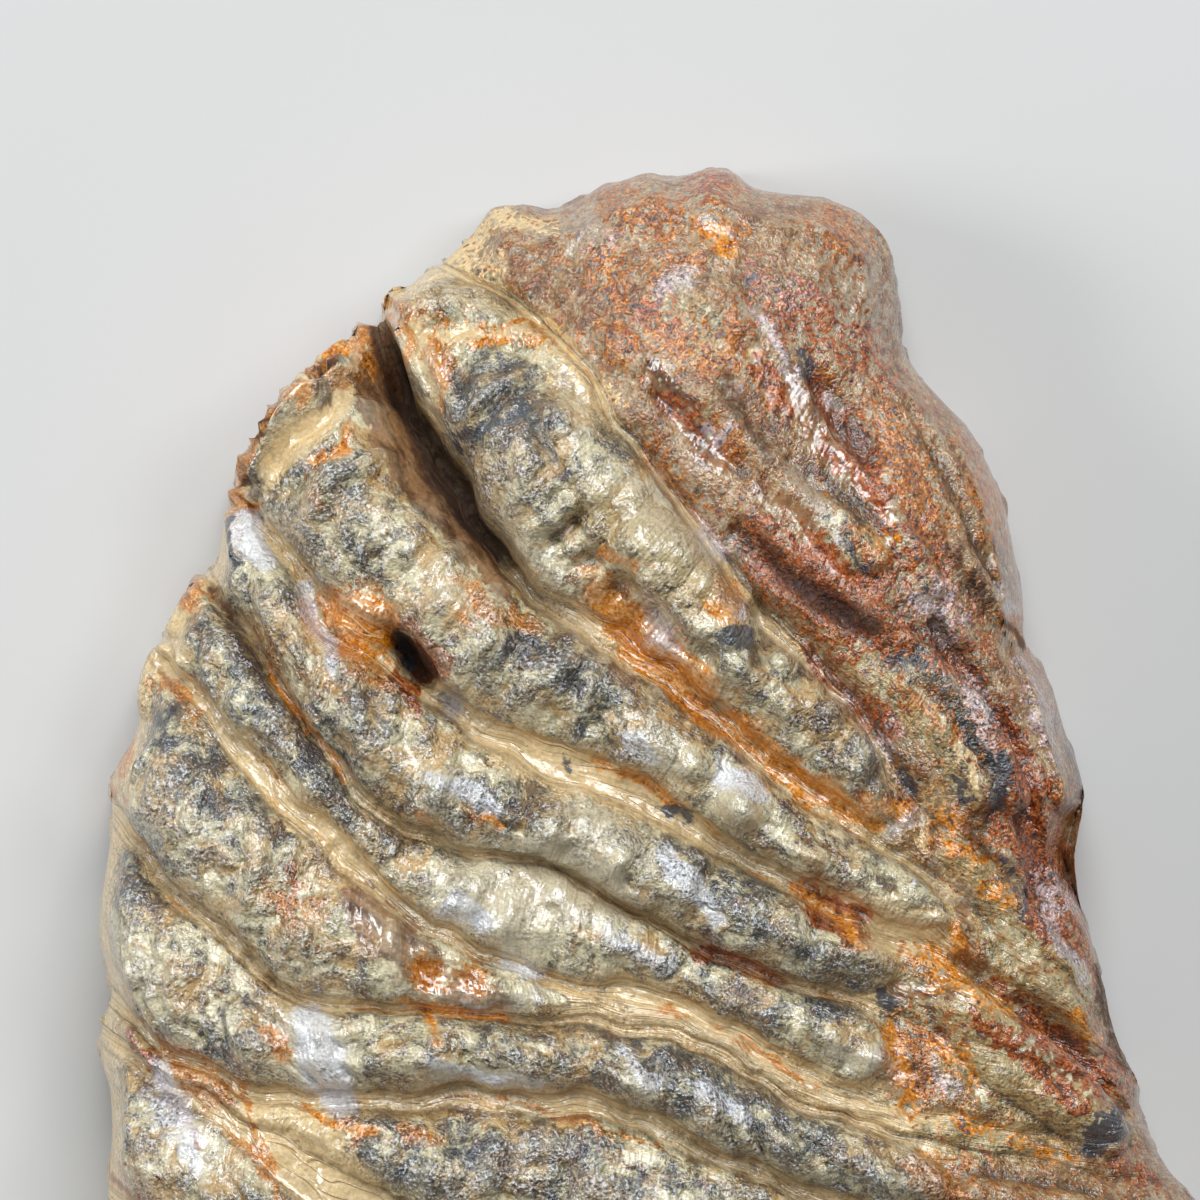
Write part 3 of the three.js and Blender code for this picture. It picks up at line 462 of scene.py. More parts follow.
PATCHES = (
    *patches(Stain.SLATE, (
        (50.0, 40.5, 6.5, 4.5, 60.0), (52.0, 43.0, 4.0, 3.0, 40.0, 0.6), (34.5, 49.5, 5.0, 3.2, 50.0, 0.8),
        (29.5, 56.0, 5.0, 3.0, 55.0, 0.7), (53.0, 65.5, 5.5, 3.0, 30.0), (62.0, 70.5, 7.0, 3.6, 38.0, 0.8),
        (71.0, 73.5, 5.0, 2.2, 40.0, 0.5), (86.5, 76.0, 6.0, 3.0, 50.0, 0.7),
        (36.0, 70.0, 5.5, 3.4, 50.0, 0.7), (50.0, 81.0, 9.0, 3.0, 8.0, 0.8),
        (64.5, 83.0, 4.5, 2.4, 35.0, 0.9), (74.0, 88.5, 6.0, 3.0, 38.0, 0.8), (84.0, 98.0, 5.5, 2.6, 25.0),
        (23.0, 67.0, 6.0, 3.2, 60.0, 0.8), (33.0, 76.0, 6.5, 3.0, 55.0), (38.0, 82.5, 4.5, 2.4, 55.0, 1.1),
        (18.0, 75.0, 6.5, 4.0, 55.0, 0.9), (24.0, 81.0, 5.0, 3.4, 50.0, 0.6),
        (14.0, 88.0, 4.5, 3.6, 45.0, 1.0), (24.5, 105.0, 4.5, 2.6, 35.0, 0.6),
        (67.0, 107.0, 8.0, 3.4, 20.0, 1.2), (79.0, 113.0, 7.0, 3.0, 25.0, 1.0),
        (38.0, 113.5, 6.5, 2.4, 20.0, 1.0), (50.0, 115.5, 8.0, 3.0, 8.0, 0.9),
        (52.0, 103.5, 6.0, 2.2, 5.0, 0.5), (70.0, 98.5, 7.0, 2.2, 22.0, 0.7),
        (97.5, 76.0, 4.0, 2.0, 60.0, 1.0), (62.0, 45.0, 3.4, 2.2, 40.0, 0.5),
        (76.0, 42.0, 3.0, 2.0, 40.0, 0.6), (83.5, 52.0, 3.0, 2.4, 30.0, 0.6),
        (57.5, 29.0, 6.0, 3.0, 40.0, 0.5), (60.0, 119.0, 10.0, 3.0, 5.0, 0.6),
        (92.0, 119.0, 6.0, 2.6, 15.0, 0.7), (20.0, 133.0, 8.0, 5.0, 20.0, 0.6),
        (60.0, 131.0, 16.0, 3.0, 4.0, 0.7), (48.0, 140.0, 16.0, 3.0, 6.0, 0.7),
        (80.0, 143.0, 14.0, 2.6, 2.0, 0.6), (50.0, 150.0, 15.0, 2.8, 4.0, 0.7),
        (60.0, 160.0, 16.0, 2.6, 2.0, 0.6),
    )),
    *patches(Stain.CEMENT, (
        (30.5, 42.6, 5.0, 1.6, -38.0), (34.0, 39.5, 3.0, 1.2, -60.0, 0.8), (57.5, 39.5, 4.6, 2.2, 50.0),
        (51.5, 22.0, 4.0, 1.3, 5.0), (54.5, 76.6, 6.5, 1.7, 24.0), (66.0, 80.0, 6.0, 1.1, 34.0),
        (33.0, 115.8, 7.0, 3.4, 48.0, 1.3), (27.0, 112.0, 4.0, 2.6, 40.0), (89.0, 91.0, 5.0, 2.0, 15.0),
        (91.0, 110.8, 5.5, 0.9, 5.0), (13.0, 79.0, 2.6, 1.5, 60.0), (16.5, 66.6, 3.0, 1.5, 70.0),
        (12.8, 101.0, 2.6, 1.2, 70.0, 0.8), (63.0, 98.4, 5.0, 1.2, 20.0), (70.5, 102.4, 8.0, 1.0, 25.0),
        (60.0, 110.0, 9.0, 1.0, 10.0), (25.0, 75.5, 9.0, 1.0, 52.0), (34.0, 84.0, 7.0, 1.3, 42.0),
        (47.5, 27.0, 3.6, 1.8, 35.0, 0.6), (93.0, 82.5, 4.0, 2.6, 40.0, 0.6),
        (96.0, 91.0, 2.2, 5.0, 10.0, 0.5),
    )),
    *patches(Stain.RUST, (
        (36.3, 62.2, 4.4, 3.6, 20.0, 1.2), (43.2, 67.0, 2.2, 1.6, 60.0), (50.0, 33.6, 7.5, 1.3, 6.0, 0.5),
        (43.6, 36.0, 4.0, 1.2, 72.0), (41.0, 31.0, 3.0, 1.6, 20.0), (62.5, 61.8, 8.0, 2.4, 44.0, 0.9),
        (72.5, 60.8, 2.4, 1.7, 45.0, 1.2), (61.2, 55.8, 1.2, 0.9, 20.0), (64.0, 57.4, 1.0, 0.8, 20.0),
        (72.0, 71.6, 9.0, 1.1, 39.0, 1.2), (80.0, 78.0, 5.0, 1.4, 42.0, 1.2), (50.0, 61.0, 6.0, 1.3, 30.0),
        (46.5, 62.0, 2.2, 1.0, 60.0, 0.9), (42.2, 81.6, 1.4, 0.7, 40.0, 1.2),
        (48.0, 81.4, 1.2, 0.6, 50.0, 1.2), (32.0, 68.0, 4.0, 1.4, 45.0, 0.7),
        (27.0, 64.0, 3.0, 0.9, 62.0, 0.8), (32.0, 48.5, 1.5, 2.4, 0.0, 0.8), (36.5, 35.0, 3.0, 2.2, 50.0),
        (31.0, 37.5, 3.0, 2.0, -40.0, 0.9), (23.4, 50.0, 3.4, 1.2, 80.0, 0.9),
        (19.0, 59.6, 2.4, 1.4, -50.0), (12.0, 76.0, 2.6, 1.0, -65.0), (28.0, 104.4, 2.4, 1.5, 60.0, 1.1),
        (20.0, 107.0, 5.5, 1.6, 40.0, 0.9), (26.0, 116.0, 5.0, 0.8, 55.0, 1.0),
        (34.5, 112.0, 2.6, 0.9, 30.0), (42.0, 112.6, 3.0, 0.8, 10.0, 1.1),
        (58.0, 112.0, 10.0, 0.6, 12.0, 0.9), (43.5, 97.0, 3.0, 1.8, 15.0, 1.0),
        (47.6, 97.2, 2.4, 1.7, 10.0, 0.8), (30.0, 90.0, 5.0, 3.0, 60.0, 0.7),
        (77.5, 106.0, 5.0, 0.8, 30.0, 1.0), (67.5, 101.0, 6.0, 0.6, 24.0, 0.8),
        (91.5, 105.0, 4.0, 3.6, 60.0, 1.0), (94.0, 95.5, 3.5, 2.2, 20.0, 0.9),
        (93.5, 117.0, 4.0, 2.4, 0.0, 0.9), (83.0, 91.4, 3.6, 1.4, 30.0, 0.5),
        (72.5, 23.5, 2.6, 1.8, 40.0, 1.0), (65.0, 21.0, 5.0, 1.6, 15.0, 0.9),
        (60.5, 26.0, 2.0, 3.0, 20.0, 0.7), (67.5, 34.0, 2.2, 2.0, 30.0, 1.0),
        (62.3, 35.2, 2.6, 1.5, 20.0, 1.0), (72.6, 44.0, 2.8, 1.4, 55.0, 1.2),
        (82.0, 38.5, 4.5, 1.0, 55.0, 1.1), (88.0, 47.0, 2.8, 2.6, 40.0, 1.0),
        (73.0, 18.5, 3.6, 1.6, 10.0, 0.9), (84.5, 23.5, 3.0, 2.0, 40.0, 0.9),
        (99.5, 49.0, 6.0, 2.0, 65.0, 0.9), (88.5, 54.5, 3.0, 2.0, 30.0, 0.8),
        (101.5, 62.0, 2.0, 0.9, 50.0, 1.0), (96.5, 84.0, 3.6, 2.2, 30.0, 0.9),
        (109.0, 103.0, 1.5, 1.0, 40.0, 0.9), (105.5, 80.5, 2.6, 2.0, 60.0, 0.8),
        (14.0, 118.0, 4.0, 2.0, 30.0, 0.7), (104.0, 128.0, 9.0, 3.0, 10.0, 0.7),
        (108.0, 140.0, 8.0, 3.0, 5.0, 0.7), (30.0, 150.0, 6.0, 2.0, 30.0, 0.6),
        (75.0, 148.0, 10.0, 1.2, 2.0, 0.6),
    )),
    *patches(Stain.RED, (
        (82.0, 59.0, 8.5, 3.6, 38.0, 1.2), (76.5, 56.5, 4.5, 2.4, 55.0, 1.1),
        (79.5, 32.0, 5.0, 4.0, 40.0, 0.8), (68.5, 42.0, 3.8, 1.6, 45.0, 0.9),
        (86.0, 35.5, 3.5, 2.4, 50.0, 0.7), (96.0, 68.0, 8.0, 1.4, 58.0, 1.2),
        (101.5, 77.0, 5.0, 2.0, 65.0, 1.2), (103.0, 84.0, 5.5, 2.8, 60.0, 1.2),
        (106.0, 90.5, 6.0, 1.8, 60.0, 0.9), (91.0, 57.0, 5.5, 3.6, 55.0, 0.7),
        (94.0, 62.5, 5.0, 3.4, 40.0, 0.7), (104.5, 70.0, 5.0, 3.0, 65.0, 0.6),
        (83.5, 91.4, 4.0, 1.6, 30.0, 1.3), (73.5, 95.5, 5.0, 1.0, 22.0, 1.2),
        (88.5, 72.0, 2.8, 1.8, 50.0, 0.8), (104.5, 103.5, 7.0, 1.4, 45.0, 1.1),
        (110.5, 107.0, 4.0, 1.6, 60.0, 0.8), (71.5, 17.6, 2.5, 1.2, 0.0, 0.9),
        (65.0, 31.5, 1.4, 3.4, 25.0, 0.8), (88.0, 80.5, 3.0, 1.6, 20.0, 0.8),
        (83.5, 46.5, 3.0, 1.2, 55.0, 0.7), (64.0, 62.5, 5.5, 1.4, 42.0, 0.5),
        (114.0, 116.5, 3.0, 1.6, 60.0, 0.8), (92.0, 40.0, 4.0, 1.4, 50.0, 0.5),
    )),
    *patches(Stain.PALE, (
        (26.0, 53.5, 3.6, 1.9, 65.0, 1.2), (66.5, 52.0, 6.5, 3.4, 48.0, 0.9),
        (57.0, 88.0, 8.0, 3.2, 28.0, 1.1), (49.0, 90.0, 7.5, 4.2, 20.0, 1.0),
        (60.5, 82.0, 4.5, 3.2, 30.0, 0.9), (66.5, 74.5, 3.4, 2.4, 35.0, 0.9),
        (73.0, 79.5, 4.5, 2.2, 30.0, 0.8), (43.0, 77.0, 6.0, 3.2, 20.0, 0.6),
        (46.0, 60.0, 5.5, 2.8, 52.0, 0.7), (53.5, 55.0, 5.5, 2.0, 55.0, 0.7),
        (48.0, 99.0, 8.5, 1.4, 4.0, 0.9), (31.5, 105.0, 5.5, 3.6, 50.0, 1.2),
        (14.0, 96.0, 4.5, 2.6, 55.0, 0.7), (21.0, 89.0, 4.0, 2.4, 50.0, 0.5),
        (20.5, 114.0, 4.5, 2.6, 70.0, 0.9), (49.0, 107.4, 5.6, 0.9, 4.0, 1.2),
        (64.0, 107.0, 2.6, 1.0, 15.0, 0.9), (94.0, 88.0, 3.0, 2.6, 30.0, 0.5),
        (101.0, 104.5, 5.0, 3.0, 45.0, 0.5), (86.0, 29.0, 3.4, 6.0, 0.0, 0.6),
        (75.6, 32.4, 2.2, 0.9, 45.0, 0.9), (87.5, 105.8, 2.0, 1.2, -30.0, 1.0),
        (58.5, 22.5, 2.6, 2.2, 40.0, 0.7), (70.0, 69.0, 3.4, 1.8, 40.0, 0.5),
    )),
    *patches(Stain.BLACK, (
        (90.2, 78.4, 1.2, 1.2, 20.0, 1.0), (110.0, 112.6, 1.9, 1.8, 20.0, 1.4),
        (40.4, 64.8, 2.2, 1.4, 45.0, 0.8), (88.0, 99.2, 1.0, 0.9, 20.0, 1.0),
        (56.5, 76.2, 1.0, 0.5, 20.0, 0.9), (68.0, 81.0, 1.6, 0.5, 35.0, 0.9),
        (107.8, 75.5, 1.2, 4.0, -20.0, 0.5),
    )),
    # Bluish-white veils, mostly painted highlight on the lacquer
    *patches(Stain.VEIL_AND_HIGHLIGHT, (
        (65.5, 62.5, 3.4, 1.6, 55.0, 0.8), (73.6, 61.0, 0.9, 1.3, 10.0, 1.0),
        (104.5, 71.5, 4.0, 2.2, 65.0, 0.8), (93.5, 60.5, 3.4, 2.2, 35.0, 0.7),
        (68.0, 29.0, 2.4, 1.2, 0.0, 0.8), (60.0, 24.0, 2.4, 2.0, 30.0, 0.6),
        (70.8, 43.2, 1.4, 0.8, -30.0, 0.9), (97.5, 70.5, 3.4, 1.5, 55.0, 0.8),
        (105.0, 89.0, 3.4, 1.4, 55.0, 0.7), (64.0, 94.5, 5.0, 1.4, 25.0, 0.8),
        (46.0, 91.5, 3.0, 1.4, 0.0, 0.8), (70.5, 54.0, 3.6, 0.9, 52.0, 0.8),
        (79.5, 30.0, 5.0, 3.4, 30.0, 0.4), (89.0, 74.0, 2.6, 2.2, 40.0, 0.6),
        (18.5, 112.0, 5.0, 2.4, 60.0, 0.8), (32.0, 104.0, 4.0, 2.4, 50.0, 0.9),
        (88.0, 106.5, 4.0, 2.0, 30.0, 0.5), (50.0, 99.0, 7.0, 1.4, 4.0, 0.5),
    )),
)


@dataclass(frozen=True)
class Mark:
    """A stain along a path of x, y, half width, with its strength."""

    stain: Stain
    strength: float
    path: Rows


def marks(stain: Stain, rows: tuple[tuple, ...]) -> tuple[Mark, ...]:
    """Returns one mark of the stain for each row of its strength and the places of its path."""
    return tuple(Mark(stain, strength, tuple(path)) for strength, *path in rows)


MARKS = (
    # Under each stain: chewing edge, left side, middle, end plate and its lobe, fingers, root side, ribbons
    *marks(Stain.CEMENT, (
        (1.5, (42.4, 33.8, 0.8), (46.0, 34.0, 1.0), (50.0, 33.2, 1.3), (54.0, 33.2, 1.3),
            (56.4, 34.8, 0.9)),
        (1.3, (41.0, 31.6, 0.9), (42.4, 35.0, 1.0), (43.4, 38.4, 0.9), (44.2, 41.4, 0.6)),
        (1.0, (54.6, 35.6, 1.0), (56.6, 38.8, 1.4), (58.4, 41.8, 0.9)),
        (2.0, (36.0, 33.8, 0.5), (35.4, 36.0, 0.7), (35.0, 38.6, 1.0), (33.7, 41.0, 1.6),
            (31.0, 43.2, 1.6), (28.4, 45.2, 1.5), (27.0, 48.0, 0.8)),
        (1.4, (22.4, 51.0, 0.6), (21.8, 54.6, 0.6), (21.8, 57.0, 0.7), (18.6, 60.6, 1.1),
            (16.6, 63.6, 0.8)),
        (1.3, (15.8, 64.2, 0.6), (17.6, 65.0, 1.3), (18.8, 67.2, 1.0)),
        (1.1, (14.4, 66.4, 0.6), (13.9, 70.0, 0.5), (13.6, 73.6, 0.6), (12.4, 78.6, 0.8),
            (11.8, 82.4, 1.2)),
        (1.7, (25.4, 110.6, 1.6), (29.4, 114.6, 2.6), (34.6, 118.4, 2.8)),
        (1.5, (49.6, 73.4, 0.9), (54.0, 75.6, 1.6), (59.6, 77.6, 1.5), (65.0, 80.6, 1.1),
            (70.0, 83.4, 0.9)),
        (1.1, (75.2, 35.0, 0.4), (76.4, 38.6, 0.5), (79.4, 42.4, 0.4)),
        (1.3, (91.0, 69.4, 0.25), (94.0, 72.6, 0.35), (96.0, 75.4, 0.4), (97.8, 79.8, 0.3)),
        (1.4, (84.6, 91.8, 0.8), (88.6, 93.6, 1.5), (92.2, 94.0, 0.9)),
    )),
    *marks(Stain.AMBER, (
        (1.2, (43.8, 34.8, 0.35), (47.0, 35.0, 0.4), (50.6, 34.2, 0.5), (54.4, 34.6, 0.5)),
        (1.1, (44.0, 32.6, 0.3), (48.0, 32.6, 0.4), (53.0, 32.4, 0.3)),
        (1.1, (43.6, 35.6, 0.4), (44.4, 38.6, 0.4), (44.6, 41.0, 0.3)),
        (1.0, (38.8, 31.6, 0.6), (40.6, 33.6, 0.7), (41.4, 36.6, 0.5)),
        (1.7, (31.4, 36.4, 0.5), (32.6, 35.2, 0.6), (34.4, 35.0, 0.6)),
        (1.6, (30.2, 38.6, 0.5), (30.3, 40.4, 0.5)),
        (1.5, (28.0, 41.2, 0.4), (26.6, 42.8, 0.4)),
        (1.3, (35.4, 43.0, 0.7), (34.6, 45.2, 0.5), (31.4, 45.8, 0.5)),
        (1.2, (23.8, 49.8, 0.7), (26.0, 50.0, 0.5)),
        (1.6, (34.6, 61.0, 1.3), (37.4, 61.2, 1.8), (37.6, 64.0, 1.8), (34.8, 64.4, 1.0)),
        (1.2, (26.6, 66.0, 0.4), (29.2, 69.8, 0.5), (31.8, 73.4, 0.4), (35.0, 77.6, 0.4)),
        (1.2, (40.0, 99.6, 0.4), (45.0, 100.4, 0.5), (50.6, 101.0, 0.4)),
        (1.0, (42.8, 100.6, 0.7), (43.8, 103.6, 0.6)),
        (1.0, (31.0, 110.6, 0.5), (34.6, 112.6, 0.5), (37.6, 112.2, 0.5)),
        (1.3, (42.0, 81.2, 0.4), (43.2, 82.0, 0.4)),
        (1.3, (48.8, 80.8, 0.5), (49.6, 81.8, 0.4)),
        (1.0, (59.6, 75.8, 0.5), (64.6, 77.6, 0.6), (68.4, 80.6, 0.5)),
        (1.2, (60.6, 55.2, 0.7), (63.2, 57.0, 0.8)),
        (1.0, (79.0, 88.8, 0.7), (83.0, 91.2, 0.9), (86.0, 93.6, 0.6)),
        (1.3, (71.0, 22.8, 1.0), (71.8, 24.0, 1.2), (72.4, 25.4, 0.9)),
        (1.2, (87.6, 53.6, 0.5), (88.8, 54.0, 0.4)),
        (1.1, (100.0, 61.8, 0.4), (101.8, 63.6, 0.5)),
        (1.0, (86.6, 80.2, 1.0), (89.2, 81.2, 0.9)),
        (0.8, (93.6, 82.0, 1.0), (95.4, 84.6, 1.0)),
        (1.0, (97.2, 86.2, 0.6), (98.4, 86.0, 0.5)),
        (0.8, (97.8, 89.0, 0.9), (100.2, 89.4, 1.0)),
        (1.0, (92.2, 94.6, 1.2), (93.6, 96.6, 1.4)),
        (1.1, (95.0, 91.6, 0.5), (95.4, 95.0, 0.7), (96.2, 98.4, 0.7), (100.6, 100.6, 0.5)),
        (0.8, (95.6, 111.6, 0.6), (101.0, 113.6, 0.9), (107.0, 115.6, 0.8)),
        (0.9, (107.6, 102.2, 0.9), (109.2, 104.4, 0.8)),
        (1.0, (88.4, 102.0, 0.8), (89.6, 106.0, 1.1), (91.0, 110.0, 1.0)),
        (0.9, (92.4, 103.4, 0.6), (96.4, 105.6, 0.7), (97.4, 109.0, 0.7)),
        (1.7, (62.6, 65.6, 0.6), (66.0, 68.0, 0.9), (72.0, 72.0, 1.2), (78.0, 76.6, 1.2),
            (83.6, 80.6, 1.0), (87.0, 82.4, 0.7)),
        (1.4, (59.6, 59.4, 0.8), (62.4, 62.0, 1.6), (65.4, 64.6, 2.4), (69.6, 67.6, 1.8)),
        (1.3, (70.8, 60.6, 0.9), (72.2, 61.8, 0.9)),
    )),
    # Bluish-white veils along paths, mostly painted highlight on the lacquer
    *marks(Stain.VEIL_AND_HIGHLIGHT, (
        (0.7, (55.0, 36.0, 0.8), (56.8, 39.2, 1.1), (58.8, 42.4, 0.8)),
        (1.5, (25.0, 51.6, 1.4), (25.2, 54.0, 1.6), (26.6, 56.0, 1.0)),
        (1.0, (45.0, 70.0, 0.7), (46.0, 70.6, 0.7)),
        (1.1, (30.6, 58.4, 0.9), (32.2, 62.4, 0.9), (33.4, 66.8, 0.9)),
        (1.3, (45.6, 90.6, 1.4), (48.6, 92.0, 1.2)),
        (1.1, (50.8, 95.6, 0.9), (54.0, 97.4, 0.8)),
        (1.4, (30.6, 101.6, 1.6), (32.8, 105.4, 2.4), (34.0, 109.4, 1.8)),
        (1.1, (16.6, 106.6, 1.2), (18.4, 111.0, 1.6), (19.6, 115.6, 1.4)),
        (1.3, (43.2, 105.8, 0.6), (48.0, 107.6, 0.7), (54.0, 107.8, 0.6)),
        (1.2, (62.2, 104.8, 0.9), (65.6, 107.2, 0.9)),
        (1.2, (69.4, 108.4, 0.9), (74.0, 111.0, 0.9)),
        (1.3, (43.4, 77.4, 0.9), (47.0, 79.2, 1.3), (49.6, 80.0, 0.9)),
        (1.3, (62.8, 73.6, 0.9), (65.0, 75.2, 0.8)),
        (1.3, (72.6, 77.6, 1.2), (75.6, 79.4, 1.0)),
        (1.4, (66.0, 84.6, 1.0), (68.4, 87.6, 1.2), (71.4, 91.0, 1.0)),
        (1.1, (65.6, 29.6, 0.9), (67.2, 28.2, 1.3), (68.6, 27.6, 0.8)),
        (1.0, (75.0, 31.6, 0.4), (76.4, 33.2, 0.5), (77.4, 35.4, 0.5), (78.6, 38.0, 0.4)),
        (1.1, (82.4, 39.4, 0.5), (83.8, 40.8, 0.8)),
        (1.5, (70.4, 43.0, 0.4), (71.2, 44.2, 0.5), (72.6, 43.8, 0.4), (73.0, 42.4, 0.3)),
        (1.1, (83.4, 53.6, 0.5), (84.6, 55.0, 0.4)),
        (1.2, (90.6, 59.6, 0.4), (92.2, 60.4, 0.5), (93.2, 59.6, 0.4)),
        (1.0, (92.0, 61.0, 1.1), (94.4, 63.0, 1.3)),
        (1.0, (99.8, 59.0, 0.6), (101.4, 60.6, 0.6)),
        (0.8, (93.6, 67.4, 0.3), (96.4, 70.8, 0.4), (98.4, 74.6, 0.4), (99.2, 77.4, 0.3)),
        (0.7, (101.6, 66.4, 1.2), (103.6, 70.6, 1.7), (105.4, 76.0, 1.3)),
        (0.9, (88.0, 83.0, 1.0), (91.6, 81.6, 1.0)),
        (1.0, (103.2, 87.0, 0.6), (105.6, 93.0, 0.9), (108.0, 98.4, 0.8)),
        (1.1, (93.0, 105.0, 0.5), (95.4, 108.4, 0.6)),
        (0.8, (64.0, 62.0, 0.7), (66.6, 64.4, 0.9)),
    )),
    *marks(Stain.KHAKI, (
        (1.0, (44.0, 29.6, 1.2), (48.0, 28.4, 1.6), (51.0, 31.0, 1.6)),
        (1.0, (65.4, 72.8, 1.8), (69.0, 76.4, 2.0)),
        (1.5, (59.6, 49.6, 2.2), (64.0, 53.6, 3.2), (69.0, 58.4, 3.0), (73.0, 61.6, 1.8)),
        (0.9, (67.5, 31.0, 2.2), (70.0, 33.0, 2.4), (71.5, 35.0, 1.6)),
        (1.1, (82.6, 50.8, 1.2), (86.4, 52.2, 1.6)),
        (1.2, (83.2, 52.8, 1.2), (85.6, 56.4, 1.2)),
        (1.2, (87.4, 54.0, 1.4), (89.8, 56.6, 1.4)),
        (1.5, (89.6, 64.8, 1.4), (93.0, 67.4, 1.8), (96.8, 71.8, 2.0), (99.4, 77.6, 1.8)),
        (1.3, (85.5, 65.6, 1.2), (90.0, 69.6, 1.6), (93.6, 73.6, 1.6), (96.8, 78.8, 1.5)),
        (1.3, (93.4, 83.0, 1.6), (96.0, 85.8, 2.4), (97.6, 87.2, 1.6)),
        (1.4, (86.0, 97.6, 1.2), (91.0, 98.6, 1.6), (96.6, 99.2, 1.8), (101.0, 102.0, 1.2)),
        (1.3, (88.0, 110.6, 1.4), (94.0, 113.0, 1.8), (101.0, 114.6, 1.8)),
        (1.4, (98.6, 91.6, 1.8), (103.0, 96.8, 2.8), (107.4, 101.6, 2.2)),
        (1.2, (90.6, 100.8, 1.2), (95.6, 101.4, 1.6)),
        (1.5, (96.4, 103.6, 2.2), (100.6, 107.4, 3.2), (106.0, 111.0, 2.8)),
    )),
    *marks(Stain.BLACK, (
        (0.9, (46.0, 44.0, 0.8), (48.6, 43.4, 0.9)),
        (0.9, (50.0, 42.6, 0.9), (52.4, 41.4, 0.7)),
        (1.0, (23.4, 52.0, 0.3), (23.2, 54.4, 0.4), (23.8, 56.6, 0.5)),
        (1.0, (79.2, 35.6, 0.5), (80.6, 37.4, 0.8)),
        (1.0, (82.4, 48.4, 0.3), (84.6, 49.2, 0.3)),
        (1.0, (84.6, 54.2, 0.5), (85.8, 56.8, 0.7)),
        (1.2, (91.3, 56.8, 0.35), (91.8, 59.2, 0.45)),
        (0.8, (88.6, 65.6, 0.8), (90.0, 66.2, 0.8)),
        (1.3, (99.4, 75.6, 0.4), (100.0, 78.0, 0.8), (99.8, 79.6, 1.0)),
        (1.2, (95.4, 77.6, 0.4), (96.6, 79.8, 0.7)),
        (0.9, (99.4, 85.8, 0.4), (101.2, 88.0, 0.5), (101.9, 91.0, 0.4)),
        (1.6, (72.4, 63.6, 0.8), (74.4, 63.6, 0.9)),
    )),
    *marks(Stain.FLESH, (
        (1.3, (38.2, 38.0, 1.0), (40.6, 43.6, 1.4), (43.8, 49.6, 1.8), (47.4, 55.0, 1.6),
            (50.6, 58.6, 1.0)),
        (1.4, (36.8, 36.6, 0.8), (38.0, 40.6, 1.4), (39.6, 45.0, 1.6), (42.6, 50.0, 1.4)),
        (1.1, (36.0, 89.0, 1.6), (40.0, 94.0, 2.4), (45.0, 98.0, 2.2), (50.0, 99.0, 1.2)),
        (1.4, (78.8, 37.6, 0.6), (79.8, 40.4, 1.0), (81.4, 43.6, 1.2), (84.0, 47.0, 0.9),
            (86.6, 50.2, 0.7), (88.6, 51.6, 0.6)),
        (1.5, (66.0, 37.6, 1.0), (68.0, 41.2, 1.5), (70.4, 44.8, 1.6), (72.4, 46.8, 1.0)),
        (1.2, (75.5, 48.6, 0.7), (79.0, 50.8, 0.8), (81.6, 54.4, 0.8), (84.0, 57.6, 0.7)),
        (1.1, (98.4, 47.0, 1.4), (100.6, 53.0, 1.8), (101.6, 60.0, 1.2)),
        (1.0, (95.8, 90.6, 0.9), (96.4, 94.0, 1.0), (96.6, 98.0, 0.9)),
        (1.1, (88.0, 98.8, 0.8), (93.0, 98.2, 0.9), (98.0, 99.6, 0.9)),
        (1.1, (103.6, 104.6, 0.7), (106.6, 107.0, 1.0), (110.0, 109.6, 0.8)),
    )),
    *marks(Stain.RUST, (
        (1.6, (36.2, 32.8, 0.9), (37.8, 33.2, 1.0), (38.6, 36.0, 0.9), (40.0, 39.6, 0.7)),
        (1.8, (31.6, 37.6, 0.6), (34.6, 37.2, 0.6), (33.0, 39.0, 0.8), (30.4, 39.0, 0.8)),
        (1.7, (29.4, 38.8, 0.7), (27.0, 41.4, 0.8), (25.0, 44.6, 0.7), (23.8, 46.8, 0.9)),
        (1.3, (31.0, 45.6, 0.5), (34.0, 45.0, 0.5), (36.6, 43.6, 0.4)),
        (0.9, (31.6, 46.6, 0.8), (32.2, 50.6, 1.0)),
        (1.2, (31.2, 60.0, 0.6), (33.6, 65.6, 0.8), (37.8, 67.4, 0.8), (42.0, 70.2, 0.6)),
        (1.3, (11.9, 75.0, 0.6), (11.6, 77.0, 0.6)),
        (1.2, (11.2, 79.6, 0.6), (12.6, 80.2, 0.6)),
        (0.9, (21.2, 59.8, 0.7), (22.8, 62.0, 0.6)),
        (0.9, (15.4, 68.6, 1.0), (18.6, 69.0, 1.2), (20.0, 72.0, 1.0)),
        (1.3, (42.6, 96.0, 1.2), (44.6, 97.8, 1.2)),
        (1.1, (46.8, 96.6, 1.1), (48.4, 97.8, 1.1)),
        (1.2, (24.4, 108.0, 0.6), (25.4, 112.6, 0.5), (27.4, 117.0, 0.7)),
        (0.9, (64.6, 45.0, 0.8), (68.0, 50.0, 1.0), (71.6, 55.0, 0.8)),
        (1.2, (70.6, 17.0, 1.3), (73.0, 17.6, 1.2)),
        (1.0, (62.5, 22.8, 1.0), (65.0, 22.0, 1.3), (67.0, 23.6, 1.0)),
        (1.1, (60.6, 25.8, 1.0), (61.2, 28.5, 1.2), (61.6, 31.0, 0.7)),
        (1.3, (69.8, 27.2, 0.7), (66.6, 26.8, 0.9), (65.0, 28.4, 0.8), (65.2, 31.0, 0.8),
            (66.2, 33.0, 1.1), (68.0, 34.0, 1.3), (69.4, 35.6, 0.9), (72.8, 36.6, 0.8)),
        (1.3, (73.2, 31.6, 0.7), (73.6, 34.0, 0.9), (73.0, 36.6, 0.7)),
        (1.1, (84.0, 21.4, 1.2), (84.6, 23.6, 1.4)),
        (0.9, (80.0, 31.0, 1.2), (82.4, 33.0, 1.6), (84.0, 36.0, 1.2)),
